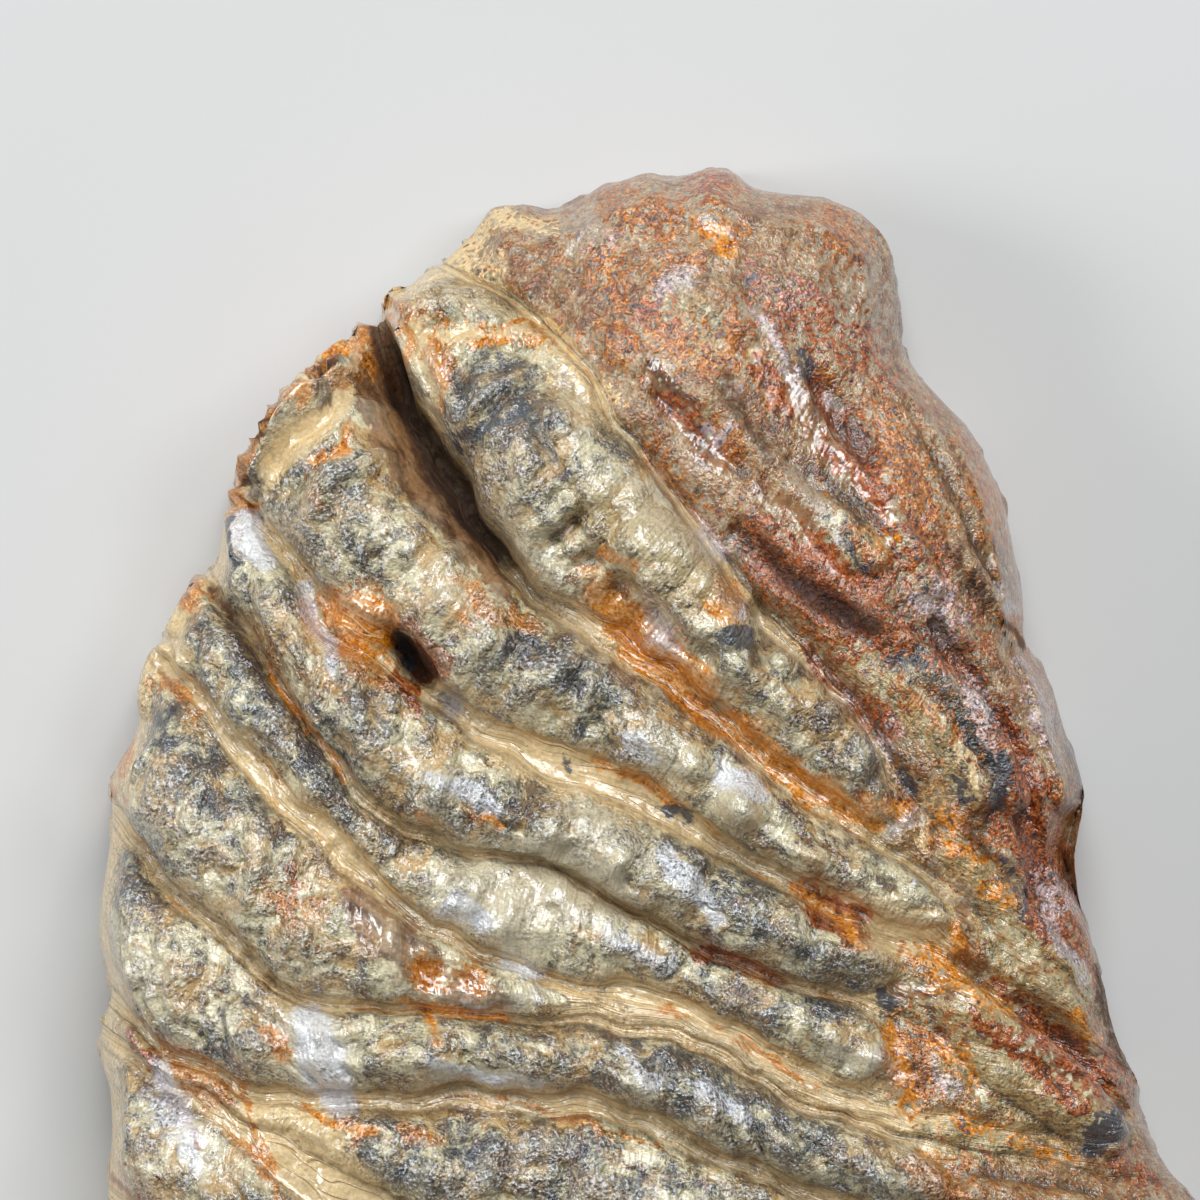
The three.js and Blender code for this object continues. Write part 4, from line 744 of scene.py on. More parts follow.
        (1.0, (88.0, 42.0, 1.8), (91.0, 48.0, 2.2), (93.0, 54.0, 1.8)),
        (1.2, (80.6, 62.8, 1.3), (85.0, 63.4, 1.4), (88.6, 65.0, 1.2)),
        (1.1, (90.0, 68.0, 0.5), (91.6, 70.6, 0.6), (95.4, 73.4, 0.8)),
        (1.6, (101.6, 78.4, 1.0), (102.4, 83.6, 1.7), (103.0, 88.0, 1.2)),
        (1.5, (93.6, 64.6, 0.5), (97.0, 68.4, 0.6), (100.4, 73.0, 0.7), (101.8, 78.0, 0.8)),
        (1.2, (104.6, 82.4, 1.4), (105.8, 85.4, 1.2)),
    )),
    # Painted shade with dirt in rib gaps, grooves and a shadowed hollow
    *marks(Stain.GROOVE_DIRT_AND_SHADE, (
        (1.6, (31.8, 36.6, 0.4), (33.2, 35.9, 0.5), (34.6, 35.9, 0.4)),
        (1.6, (31.9, 38.6, 0.4), (32.4, 40.4, 0.5)),
        (1.4, (26.4, 42.2, 0.2), (28.4, 42.1, 0.25)),
        (1.4, (25.4, 43.8, 0.2), (27.2, 43.6, 0.25)),
        (1.8, (24.2, 48.0, 0.4), (26.0, 47.6, 0.5)),
        (0.9, (21.6, 59.6, 0.8), (23.6, 63.0, 1.1), (25.6, 66.4, 0.8), (27.6, 70.0, 0.6)),
        (0.8, (72.4, 37.4, 1.0), (73.2, 40.4, 1.2), (75.4, 43.4, 1.0), (77.0, 46.0, 0.8)),
        (1.0, (76.0, 54.6, 1.0), (78.6, 58.0, 1.5), (82.6, 60.6, 1.6), (86.6, 62.4, 1.2)),
        (1.2, (94.6, 54.0, 0.35), (97.0, 56.8, 0.4), (99.2, 60.2, 0.35), (102.2, 64.2, 0.35)),
        (0.6, (95.0, 55.6, 1.0), (97.4, 59.4, 1.0)),
        (0.8, (96.6, 82.6, 0.8), (98.6, 85.6, 0.8)),
        (0.8, (109.6, 97.0, 0.8), (111.2, 103.0, 0.9), (112.4, 107.0, 0.8)),
    )),
    *marks(Stain.SLATE, (
        (1.0, (32.0, 47.0, 1.4), (34.6, 50.0, 1.6)),
        (1.4, (35.6, 114.0, 1.6), (40.0, 116.4, 2.2), (46.0, 118.0, 1.8)),
        (1.1, (62.0, 103.6, 1.4), (67.6, 105.8, 2.0), (74.0, 108.6, 1.6)),
        (1.2, (62.6, 74.8, 0.6), (65.6, 78.4, 0.9), (69.6, 81.6, 0.7)),
        (1.7, (90.4, 65.2, 1.2), (93.0, 67.4, 1.6), (96.8, 71.8, 1.8), (99.4, 77.6, 1.6)),
        (1.2, (107.6, 75.0, 0.8), (107.8, 80.6, 0.8)),
    )),
    *marks(Stain.RED, (
        (1.0, (39.4, 67.0, 0.6), (42.2, 70.6, 0.8), (41.6, 67.4, 1.0)),
        (1.7, (39.4, 62.6, 0.5), (42.0, 62.8, 0.6), (44.0, 65.4, 0.8), (44.6, 68.0, 0.6)),
        (0.9, (28.8, 86.0, 0.9), (29.6, 88.8, 0.7)),
        (0.9, (13.6, 103.0, 0.7), (17.0, 108.0, 0.7), (20.4, 113.6, 0.8)),
        (1.5, (81.0, 38.2, 0.6), (83.0, 41.4, 0.9), (84.8, 44.4, 1.3), (86.0, 47.6, 1.5),
            (87.6, 50.0, 1.1)),
        (1.3, (75.6, 36.0, 0.6), (77.2, 38.4, 1.0), (78.6, 41.2, 0.7)),
        (1.1, (87.2, 38.4, 0.5), (88.8, 39.0, 0.7)),
        (1.5, (76.4, 54.0, 1.2), (78.0, 57.0, 1.8), (81.0, 59.6, 2.2), (85.0, 61.4, 2.2),
            (89.0, 63.6, 1.8)),
        (1.7, (94.4, 65.4, 0.8), (97.4, 69.2, 1.0), (99.8, 72.4, 1.1), (102.0, 78.0, 1.3),
            (102.6, 84.0, 1.8), (103.4, 90.0, 1.3), (104.6, 93.4, 0.8)),
        (1.4, (80.5, 65.0, 0.6), (83.0, 67.4, 0.8), (85.6, 69.8, 0.8), (88.8, 73.4, 0.7)),
        (1.4, (80.6, 90.8, 0.9), (83.0, 91.8, 1.3), (85.0, 93.0, 0.9)),
        (1.2, (104.4, 86.8, 0.5), (106.8, 92.6, 0.6), (109.0, 98.6, 0.5)),
        (1.4, (97.0, 101.0, 0.6), (100.4, 103.6, 0.8), (103.4, 106.6, 0.9), (107.4, 110.0, 0.9)),
    )),
    *marks(Stain.PALE, (
        (1.2, (43.6, 106.2, 0.7), (48.0, 108.0, 0.8), (53.6, 108.2, 0.7)),
        (1.2, (56.0, 84.0, 1.6), (59.0, 85.8, 1.6), (62.6, 88.8, 1.2)),
        (0.9, (67.8, 19.9, 0.8), (71.0, 21.2, 1.2), (74.0, 22.4, 0.7)),
        (0.7, (84.0, 26.5, 1.6), (87.0, 30.0, 2.2), (87.5, 35.0, 1.6)),
        (1.0, (79.2, 47.4, 0.9), (80.8, 49.6, 1.0), (83.0, 52.2, 0.9)),
        (1.0, (95.2, 88.6, 0.9), (97.2, 89.8, 0.9)),
        (1.0, (100.0, 92.6, 1.0), (104.0, 97.6, 1.4), (107.0, 101.0, 1.0)),
        (1.2, (82.6, 104.6, 1.0), (86.0, 106.0, 1.3), (87.6, 104.0, 0.8)),
    )),
)


@dataclass
class Dome:
    """The smooth body that plates stand on: the wall's rim and four rounded shoulders up to a flat top."""

    height: float = 30.0
    rim_height: float = 12.5
    rounding: float = 2.1
    reach: dict[str, float] = field(
        default_factory=lambda: {"left": 30.0, "right": 34.0, "top": 34.0, "bottom": 36.0}
    )
    samples: int = 80

    def __post_init__(self) -> None:
        """Draws the line of each shoulder's rim."""
        self.lines = {
            "left": SmoothLine.through(LEFT_EDGE, self.samples),
            "right": SmoothLine.through(TOP_EDGE[CROWN_CORNER:] + RIGHT_EDGE[1:], self.samples),
            "top": SmoothLine.through(TOP_EDGE[: CROWN_CORNER + 1], self.samples),
            "bottom": SmoothLine.through(BOTTOM_EDGE, self.samples),
        }

    def shape(self, x: Grid, y: Grid) -> tuple[Grid, Grid, Grid]:
        """Works out the dome at sheet places.

        Each shoulder rises from 0 at its rim to 1 at its reach as (1 - (1 - t)^r)^(1/r), and the four are
        multiplied together.

        Args:
            x: places to the right.
            y: places down the sheet.

        Returns:
            The height over the saw cut, the distance from the rim, and the distance from the chewing edge.
        """
        share = np.ones(x.shape)
        inward = np.full(x.shape, np.inf)
        chewing = inward
        for name, line in self.lines.items():
            away, _ = line.distance(x, y)
            rest = 1.0 - np.minimum(away / self.reach[name], 1.0)
            share = share * (1.0 - rest**self.rounding) ** (1.0 / self.rounding)
            inward = np.minimum(inward, away)
            chewing = away if name == "left" else chewing
        return mix(self.rim_height, self.height, share), inward, chewing


@dataclass
class BandCurve:
    """A line between two bands of rows, and where it meets the chewing edge and the root side."""

    start: float
    end: float
    line: SmoothLine


@dataclass
class Face:
    """Grids over the natural face: sheet places, growth coordinates, and how far it stands over the dome."""

    x: Grid
    y: Grid
    along: Grid
    phase: Grid
    across: Grid
    lift: Grid
    plate: Grid
    root: Grid


@dataclass
class NaturalFace:
    """The fan of plates. Its rows follow the plates, so that every seam lies on rows of its own."""

    columns: int = 250
    end_rows: int = 62
    last_rows: int = 16
    seam_share: float = 0.1
    tip_length: float = 5.0
    tip_bow: float = 3.6
    full_width: float = 8.0
    end_rise: float = 2.2
    end_shoulder: float = 8.0
    rim_fade: float = 4.0
    section_power: float = 0.78
    gentle_bank: float = 0.5
    steep_bank: float = 0.07
    boldness: float = 1.4
    stroke_boldness: float = 1.25
    sway: float = 0.55
    fan_end: float = 88.0
    root_turn: float = 3.0
    side_bend: int = 6
    skew: float = 0.22
    knuckle_length: float = 3.8
    knuckle_size: float = 0.55
    swell_length: float = 9.5
    swell_size: float = 0.14
    tip_height: float = 0.5
    strand_height: float = 0.09
    strand_rate: float = 8.5
    plate_edge: float = 0.09
    lump_length: float = 2.2
    lump_size: float = 0.5
    roll_length: float = 6.0
    roll_size: float = 0.25
    wrinkle_size: float = 0.22
    stroke_samples: int = 12

    def __post_init__(self) -> None:
        """Draws the sides, the seams between them, and the columns, closer together near the rim."""
        self.left = SmoothLine.through(LEFT_EDGE)
        self.right = SmoothLine.through(RIGHT_EDGE)
        t = np.linspace(0.0, 1.0, self.columns + 1)
        self.shares = mix(t, (1.0 - np.cos(np.pi * t)) / 2.0, 0.55)
        self.curves = [BandCurve(0.0, 0.0, self.plain(TOP_EDGE))]
        self.curves += [self.seam_curve(seam) for seam in SEAMS]
        self.curves.append(BandCurve(1.0, 1.0, self.plain(BOTTOM_EDGE)))

    def plain(self, edge: tuple[tuple[float, float], ...]) -> SmoothLine:
        """Returns the line through an edge, with no width and no depth."""
        return SmoothLine.through(tuple((x, y, 0.0, 0.0) for x, y in edge))

    def seam_curve(self, seam: Seam) -> BandCurve:
        """Returns a seam's line, carried on to the tooth's two sides."""
        start, end = self.left.share_at_height(seam.start_y), self.right.share_at_height(seam.end_y)
        first = (*(float(v) for v in self.left.at(np.array(start))), *seam.path[0][2:])
        last = (*(float(v) for v in self.right.at(np.array(end))), *seam.path[-1][2:])
        return BandCurve(start, end, SmoothLine.through((first, *seam.path, last)))

    def row_shares(self, k: int, thin: int = 1) -> Grid:
        """Returns the places of a band's rows, from 0 at its upper line to 1 at its lower one.

        Args:
            k: which band, from the top.
            thin: keeps one row in this many.

        Returns:
            Shares from 0, leaving out 1 except in the last band. End bands have closer rows near the rim.
        """
        if k == 0:
            t = np.linspace(0.0, 1.0, self.end_rows // thin + 1)[:-1]
            return mix(t, 1.0 - np.cos(t * np.pi / 2.0), 0.6)
        if k == len(self.curves) - 2:
            t = np.linspace(0.0, 1.0, self.last_rows // thin + 1)
            return mix(t, np.sin(t * np.pi / 2.0), 0.6)
        return np.linspace(0.0, 1.0, max(PLATES[k - 1].rows // thin, 4) + 1)[:-1]

    def crest(self, k: int, end: float, along: Grid, width: Grid, q: Grid) -> tuple[Grid, Grid]:
        """Works out a plate's height over the dome.

        The section is 4q(1 - q) to a power, between a half ellipse and a parabola, scaled by the plate's
        rise, by its width where it is narrow, and by knuckles along it. The plate rounds off over its tip.

        Args:
            k: which plate.
            end: millimetres along the plate to its tip.
            along: millimetres along the plate.
            width: the plate's width at each place.
            q: share from the upper seam's edge to the lower one's.

        Returns:
            The height, and the share of the plate that is left before its tip.
        """
        plate = PLATES[k]
        tip = np.clip((end - self.tip_bow * (2.0 * q - 1.0) ** 2 - along) / self.tip_length, 0.0, 1.0)
        tip = np.sqrt(tip * (2.0 - tip))
        skew = 1.0 + self.skew * np.sin(1.7 * k + along / 11.0)
        section = np.clip(4.0 * q**skew * (1.0 - q**skew), 0.0, 1.0) ** self.section_power
        knuckle = LumpNoise(100 + k).puffed(along / self.knuckle_length, q * 1.5, 2) * self.knuckle_size
        swell = LumpNoise(140 + k)(along / self.swell_length, np.zeros_like(q)) * self.swell_size
        knuckle = knuckle + swell
        rise = plate.rise * self.boldness * np.minimum(width / self.full_width, 1.0) * (1.0 + knuckle)
        return section * (tip * rise + (1.0 - tip) * self.tip_height), tip

    def bank(self, q: Grid, reach: float) -> Grid:
        """Returns how far a plate's side still lies in its seam: 1 at the seam, 0 from the reach on."""
        return np.clip(1.0 - q / reach, 0.0, 1.0) ** 1.5

    def band(self, k: int, columns: Grid, thin: int = 1) -> list[Grid]:
        """Works out one band of rows between two curves.

        A place is the share of the way between the curves, bent at both ends to the tooth's sides. The
        outer tenths of a plate's band are the seams' half widths, and the rest is the plate.

        Args:
            k: which band, from the top.
            columns: shares along the curves.
            thin: keeps one row in this many.

        Returns:
            Grids of x, y, along, phase, across, lift, plate and root.
        """
        up, down = self.curves[k], self.curves[k + 1]
        px, py, half_up, deep_up = up.line.at(columns)
        rx, ry, half_down, deep_down = down.line.at(columns)
        width = np.hypot(rx - px, ry - py)
        body = np.maximum(width - half_up - half_down, 0.01)
        t = self.row_shares(k, thin)[:, None] * np.ones_like(columns)
        is_plate = 0 < k < len(self.curves) - 2
        margin_up = self.seam_share if k > 0 else 0.0
        margin_down = self.seam_share if is_plate or k == 0 else 0.0
        q = np.clip((t - margin_up) / (1.0 - margin_up - margin_down), 0.0, 1.0)
        upper = np.clip(t / margin_up, 0.0, 1.0) if margin_up else np.ones_like(t)
        lower = np.clip((1.0 - t) / margin_down, 0.0, 1.0) if margin_down else np.ones_like(t)
        share = (half_up * upper + q * body + half_down * (1.0 - lower)) / width
        ends = []
        sides = ((self.left, up.start, down.start, 0), (self.right, up.end, down.end, -1))
        for side, first, last, at in sides:
            sx, sy = side.at(mix(first, last, share))
            ends.append((sx - mix(px[at], rx[at], share), sy - mix(py[at], ry[at], share)))
        near_left, near_right = (1.0 - columns) ** self.side_bend, columns**self.side_bend
        x = mix(px, rx, share) + near_left * ends[0][0] + near_right * ends[1][0]
        y = mix(py, ry, share) + near_left * ends[0][1] + near_right * ends[1][1]
        step = np.hypot(np.diff((px + rx) / 2.0), np.diff((py + ry) / 2.0))
        along = np.concatenate([[0.0], np.cumsum(step)])[None, :] * np.ones_like(t)
        in_seam = (1.0 - upper) + (1.0 - lower)
        floor = -mix(deep_up, deep_down, q)
        strands = self.strand_height * np.sin(share * width * self.strand_rate) * in_seam
        if is_plate:
            end = float(np.interp(PLATES[k - 1].end_x, (px + rx) / 2.0, along[0]))
            height, tip = self.crest(k - 1, end, along, body, q)
            sunk = deep_up * self.bank(q, self.gentle_bank) + deep_down * self.bank(1.0 - q, self.steep_bank)
            lift = height + strands - sunk
            sides = smooth_step(0.0, self.plate_edge, q) * smooth_step(0.0, self.plate_edge, 1.0 - q)
            plate = np.where(in_seam > 0.0, 0.0, sides)
            plate = plate * smooth_step(0.0, 0.5, tip)
            fan_end = max(PLATES[k - 1].end_x, self.fan_end)
            root = smooth_step(-self.root_turn, self.root_turn, x - fan_end)
        else:
            out = np.minimum((1.0 - q if k == 0 else q) * body / self.end_shoulder, 1.0)
            lift = mix(floor, self.end_rise, np.sqrt(out * (2.0 - out))) + strands
            plate = np.full(x.shape, 0.5)
            root = np.where(in_seam > 0.0, 0.0, smooth_step(0.0, 0.04, out)) if k == 0 else np.zeros(x.shape)
            root = np.maximum(root, smooth_step(-self.root_turn, self.root_turn, x - self.fan_end))
        across = (q - 0.5) * body
        return [x, y, along, k + t, across, lift, plate, root]

    def grids(self, columns: Grid, thin: int = 1) -> Face:
        """Returns the whole face as grids, the bands stacked from the top down."""
        bands = [self.band(k, columns, thin) for k in range(len(self.curves) - 1)]
        face = Face(*(np.vstack(rows) for rows in zip(*bands)))
        row = np.arange(len(face.x))[:, None]
        inner = smooth_step(0.0, 0.05, np.minimum(columns, 1.0 - columns))[None, :]
        inner = inner * smooth_step(0.0, 14.0 / thin, row)
        inner = inner * smooth_step(0.0, 9.0 / thin, len(face.x) - 1.0 - row) * self.sway
        sway = [LumpNoise(seed).fractal(face.x / 4.2, face.y / 4.2, 2) * inner for seed in (51, 52)]
        face.x, face.y = face.x + sway[0], face.y + sway[1]
        return face

    def detail(self, face: Face) -> tuple[Grid, Grid]:
        """Adds strokes, hollows and weathering to a face's lift.

        A stroke's section is a half ellipse over its half width, blended in by the greatest of all strokes
        that stand out and the deepest of all that cut in. Weathering is layered lump noise.

        Args:
            face: the grids to work on.

        Returns:
            The added height, and how deep each place lies in a hollow or groove, from 0 to 1.
        """
        drawn = self.stroked(STROKES, face)
        bowl = np.zeros(face.x.shape)
        for hollow in HOLLOWS:
            bowl = np.maximum(bowl, hollow.depth * np.sqrt(np.clip(hollow.share(face.x, face.y), 0.0, 1.0)))
        lumps = LumpNoise(7).puffed(face.x / self.lump_length, face.y / self.lump_length, 3, 0.6)
        rolls = LumpNoise(8).fractal(face.x / self.roll_length, face.y / self.roll_length, 2)
        lumps = lumps * self.lump_size + rolls * self.roll_size
        shifted = face.across / 3.0 + 31.0 * np.floor(face.phase)
        wrinkles = LumpNoise(9).puffed(face.along / 1.5, shifted, 2) * self.wrinkle_size
        deep = smooth_step(1.6, 5.0, bowl)
        return drawn - bowl + lumps + wrinkles, deep

    def stroked(self, strokes: tuple[Stroke, ...], face: Face) -> Grid:
        """Returns the height that strokes add: the greatest ridge and the deepest groove at each place."""
        ridge, groove = np.zeros(face.x.shape), np.zeros(face.x.shape)
        for stroke in strokes:
            line = SmoothLine.through(stroke.path, self.stroke_samples)
            near, out = reached(line, face.x, face.y, 1.1)
            bulge = np.sqrt(np.clip(1.0 - out**2, 0.0, 1.0))
            rise = stroke.rise * self.stroke_boldness
            if rise > 0.0:
                ridge[near] = np.maximum(ridge[near], rise * bulge)
            else:
                groove[near] = np.minimum(groove[near], rise * smooth_step(0.0, 1.0, bulge))
        return ridge + groove


@dataclass
class Molar:
    """The finished slice: natural face, wall and sawn face as one closed mesh with its stains."""

    face: NaturalFace
    dome: Dome
    levels: int = 10
    bevel: float = 0.35
    stain_sway: float = 1.0
    stain_spread: float = 1.5
    mark_strength: float = 0.78
    mark_sway: float = 0.6
    mark_samples: int = 8
    mark_reach: float = 1.65
    mark_fade: float = 1.1
    rim_turn: float = 7.0
    rib_fade: float = 0.7
    lip_width: float = 3.6
    lip_strength: float = 1.25
    lip_drop: float = 4.5
    enamel_places: tuple[float, float] = (0.17, 0.83)
    enamel_width: float = 0.055
    enamel_height: float = 0.55
    core_width: float = 0.22
    core_depth: float = 0.5
    rim_window: int = 3
    rim_smoothing: int = 9

    def stains(self, x: Grid, y: Grid) -> dict[Stain, Grid]:
        """Adds up the patches of each stain: a patch fades as 1 less the squared reach from its centre."""
        warped_x = x + LumpNoise(61).fractal(x / 3.6, y / 3.6, 3, 0.6) * self.stain_sway
        warped_y = y + LumpNoise(62).fractal(x / 3.6, y / 3.6, 3, 0.6) * self.stain_sway
        total = {stain: np.zeros(x.shape) for stain in Stain}
        for patch in PATCHES:
            spread = self.stain_spread
            oval = Hollow(patch.x, patch.y, patch.long * spread, patch.wide * spread, patch.turn, 0.0)
            amount = patch.strength * np.clip(oval.share(warped_x, warped_y), 0.0, 1.0)
            total[patch.stain] = np.maximum(total[patch.stain], amount)
        slight_x, slight_y = mix(x, warped_x, self.mark_sway), mix(y, warped_y, self.mark_sway)
        for mark in MARKS:
            line = SmoothLine.through(mark.path, self.mark_samples)
            near, out = reached(line, slight_x, slight_y, self.mark_reach + 0.05)
            fade = np.clip((self.mark_reach - out) / self.mark_fade, 0.0, 1.0)
            amount = self.mark_strength * mark.strength * fade
            total[mark.stain][near] = np.maximum(total[mark.stain][near], amount)
        return total

    def front(self) -> tuple[Points, Face, Grid, Grid]:
        """Lifts the natural face off the dome along the dome's normals.

        Returns:
            Places in millimetres, the face's grids, depth in hollows and seams, and the distance from
            the chewing edge.
        """
        face = self.face.grids(self.face.shares)
        height, inward, chewing = self.dome.shape(face.x, face.y)
        added, deep = self.face.detail(face)
        smooth = onto_part(face.x, face.y, height)
        down, right = np.gradient(smooth, axis=0), np.gradient(smooth, axis=1)
        normal = np.cross(down, right)
        normal /= np.maximum(np.linalg.norm(normal, axis=-1, keepdims=True), 1e-9)
        ribs = self.face.stroked(RIBS, face) * np.minimum(inward / self.rib_fade, 1.0)
        smooth = smooth + ribs[..., None] * normal
        normal = mix(np.array([0.0, 0.0, 1.0]), normal, smooth_step(0.0, self.rim_turn, inward)[..., None])
        normal /= np.linalg.norm(normal, axis=-1, keepdims=True)
        ragged = LumpNoise(21)(face.x / 1.7, face.y / 1.7) * 0.45
        rise = (face.lift + added) * np.minimum(inward / self.face.rim_fade, 1.0)
        rise = rise + ragged * np.clip(1.0 - chewing / 5.0, 0.0, 1.0) * np.clip(chewing / 0.8, 0.0, 1.0)
        seam = smooth_step(2.2, 6.0, -(face.lift + added))
        face.across = self.local_relief(rise)
        return smooth + rise[..., None] * normal, face, np.maximum(deep, seam), chewing

    def local_relief(self, rise: Grid) -> Grid:
        """Returns how far each place stands over the mean of the places round it, in millimetres.

        The mean is taken along rows and then along columns, each over a window of a few places.
        """
        mean = rise
        for axis, reach in ((0, 6), (1, 5)):
            padded = np.concatenate([mean.take([0] * reach, axis), mean, mean.take([-1] * reach, axis)], axis)
            total = np.cumsum(padded, axis=axis)
            start = total.take(range(0, mean.shape[axis]), axis)
            stop = total.take(range(2 * reach, 2 * reach + mean.shape[axis]), axis)
            mean = (stop - start) / (2.0 * reach)
        return rise - mean

    def outward(self, rim: Points) -> Points:
        """Returns the level direction out of the tooth at each place round the rim, evened out along it."""
        ahead, behind = (np.roll(rim, shift, axis=0) for shift in (-self.rim_window, self.rim_window))
        run = (ahead - behind)[:, :2]
        out = np.column_stack([-run[:, 1], run[:, 0], np.zeros(len(rim))])
        out /= np.maximum(np.linalg.norm(out, axis=1, keepdims=True), 1e-9)
        shifts = range(-self.rim_smoothing, self.rim_smoothing + 1)
        out = sum(np.roll(out, shift, axis=0) for shift in shifts)
        return out / np.maximum(np.linalg.norm(out, axis=1, keepdims=True), 1e-9)

    def wall(self, rim: Points, outward: Points, phase: Grid, length: Grid, side: Grid) -> list[Points]:
        """Works out the rings down the wall.

        Each ring is the rim at a lower height, pushed out by the enamel ribs of the chewing edge or by
        root lumps, which fade in below the rim.

        Args:
            rim: places round the rim.
            outward: level directions out of the tooth.
            phase: growth phase at each place.
            length: millimetres round the rim.
            side: 1 on the chewing edge and 0 elsewhere.

        Returns:
            The rings, from under the rim to the saw cut, the last drawn in by the bevel.
        """
        rings = []
        part = phase - np.floor(phase)
        for level in range(1, self.levels + 1):
            share = level / self.levels
            z = np.maximum(rim[:, 2] * (1.0 - share), self.bevel if level < self.levels else 0.0)
            wave = 0.045 * np.sin(z * 2.1 + phase * 3.0)
            first, second = (((part + wave - place) / self.enamel_width) ** 2 for place in self.enamel_places)
            core = np.exp(-(((part - 0.5) / self.core_width) ** 2))
            chewed = self.enamel_height * (np.exp(-first) + np.exp(-second)) - self.core_depth * core
            lumps = LumpNoise(31).fractal(length / 4.0, z / 3.0, 3, 0.5)
            fade = smooth_step(0.0, 0.25, np.array(share))
            push = mix(0.5 * lumps, chewed + 0.16 * lumps, side) * fade
            push = push - (self.bevel if level == self.levels else 0.0)
            rings.append(np.column_stack([rim[:, :2] + push[:, None] * outward[:, :2], z]))
        return rings

    def build(self) -> bpy.types.Object:
        """Builds the mesh object with its growth, tint, form and zone attributes.

        Returns:
            The finished object, dressed in no material yet.
        """
        places, face, deep, chewing = self.front()
        rows, columns = face.x.shape
        index = np.arange(rows * columns).reshape(rows, columns)
        corners = [index[:-1, :-1], index[1:, :-1], index[1:, 1:], index[:-1, 1:]]
        quads = np.stack(corners, axis=-1).reshape(-1, 4)
        rim = np.concatenate([index[0, :-1], index[:-1, -1], index[-1, :0:-1], index[:0:-1, 0]])
        flat_places = places.reshape(-1, 3)
        rim_places = flat_places[rim]
        length = np.cumsum(np.linalg.norm(rim_places - np.roll(rim_places, 1, axis=0), axis=1))
        side = np.clip(1.0 - chewing.reshape(-1)[rim] / 1.5, 0.0, 1.0)
        phase = face.phase.reshape(-1)[rim]
        rings = self.wall(rim_places, self.outward(rim_places), phase, length, side)
        ring_size = len(rim)
        first = rows * columns
        rings_index = [rim] + [first + k * ring_size + np.arange(ring_size) for k in range(len(rings))]
        for upper, lower in zip(rings_index[:-1], rings_index[1:]):
            ring_quads = np.stack([upper, np.roll(upper, -1), np.roll(lower, -1), lower], axis=-1)
            quads = np.vstack([quads, ring_quads])
        cut, cut_faces, cut_growth = self.sawn(rings[-1], rings_index[-1], first + len(rings) * ring_size)

        growth = np.stack([face.along, face.phase, face.across], axis=-1).reshape(-1, 3)
        every = np.vstack([flat_places, *rings, cut])
        level = np.zeros(ring_size)
        wall_growth = np.vstack([np.column_stack([-ring[:, 2], phase, level]) for ring in rings])
        every_growth = np.vstack([growth, wall_growth, cut_growth])
        sheet_x, sheet_y = every[:, 0] + SHEET_CENTRE[0], SHEET_CENTRE[1] - every[:, 1]
        tints = self.stains(sheet_x, sheet_y)
        lip = self.lip_strength * np.clip(1.0 - chewing.reshape(-1) / self.lip_width, 0.0, 1.0)
        front = slice(0, len(flat_places))
        walled = slice(len(flat_places), len(every) - len(cut))
        tints[Stain.CEMENT][front] = np.maximum(tints[Stain.CEMENT][front], lip)
        part = every_growth[:, 1] - np.floor(every_growth[:, 1])
        wall_side = np.tile(side, len(rings))
        under = np.tile(rim_places[:, 2], len(rings)) - np.concatenate([ring[:, 2] for ring in rings])
        hung = self.lip_strength * wall_side * np.clip(1.0 - under / self.lip_drop, 0.0, 1.0)
        tints[Stain.CEMENT][walled] = np.maximum(tints[Stain.CEMENT][walled], hung)
        plate = np.concatenate([
            face.plate.reshape(-1),
            mix(0.55, 1.0 - np.clip(np.abs(part[walled] - 0.5) * 2.6, 0.0, 1.0), wall_side),
            np.full(len(cut), 0.5),
        ])
        depth = np.concatenate([deep.reshape(-1), np.zeros(len(every) - deep.size)])
        zone = np.zeros((len(every), 3))
        zone[len(every) - len(cut) - ring_size:, 0] = 1.0
        zone[front, 1] = face.root.reshape(-1)
        zone[walled, 1] = np.tile(face.root.reshape(-1)[rim], len(rings))

        mesh = bpy.data.meshes.new("molar_slice")
        faces = [tuple(q) for q in quads.tolist()] + cut_faces
        mesh.from_pydata((every * MM).tolist(), [], faces)
        mesh.validate()
        mesh.update()
        self.write(mesh, "growth", every_growth)
        self.write(mesh, "zone", zone)
        # Hollow depth joined with the groove marks: the finish paints dirt and shade from it
        dark = np.maximum(depth, tints[Stain.GROOVE_DIRT_AND_SHADE])
        self.write(mesh, "form", np.column_stack([plate, dark, tints[Stain.BLACK]]))
        for name, three in (
            ("tint_warm", (Stain.CEMENT, Stain.RUST, Stain.RED)),
            # The cool tints carry slate, pale stain and the painted highlight veils
            ("tint_cool_and_highlight", (Stain.SLATE, Stain.PALE, Stain.VEIL_AND_HIGHLIGHT)),
            ("tint_mild", (Stain.FLESH, Stain.KHAKI, Stain.AMBER)),
        ):
            self.write(mesh, name, np.column_stack([tints[stain] for stain in three]))
        mesh.polygons.foreach_set("use_smooth", np.ones(len(mesh.polygons), bool))
        piece = bpy.data.objects.new("molar_slice", mesh)
        bpy.context.scene.collection.objects.link(piece)
        LOG.info("molar_slice: %d vertices, %d triangles", len(every), 2 * len(quads) + len(cut_faces))
        return piece

    def write(self, mesh: bpy.types.Mesh, name: str, values: Points) -> None:
        """Writes one vector for each vertex as an attribute that the finish reads."""
        layer = mesh.attributes.new(name, "FLOAT_VECTOR", "POINT")
        layer.data.foreach_set("vector", values.astype(np.float32).reshape(-1))

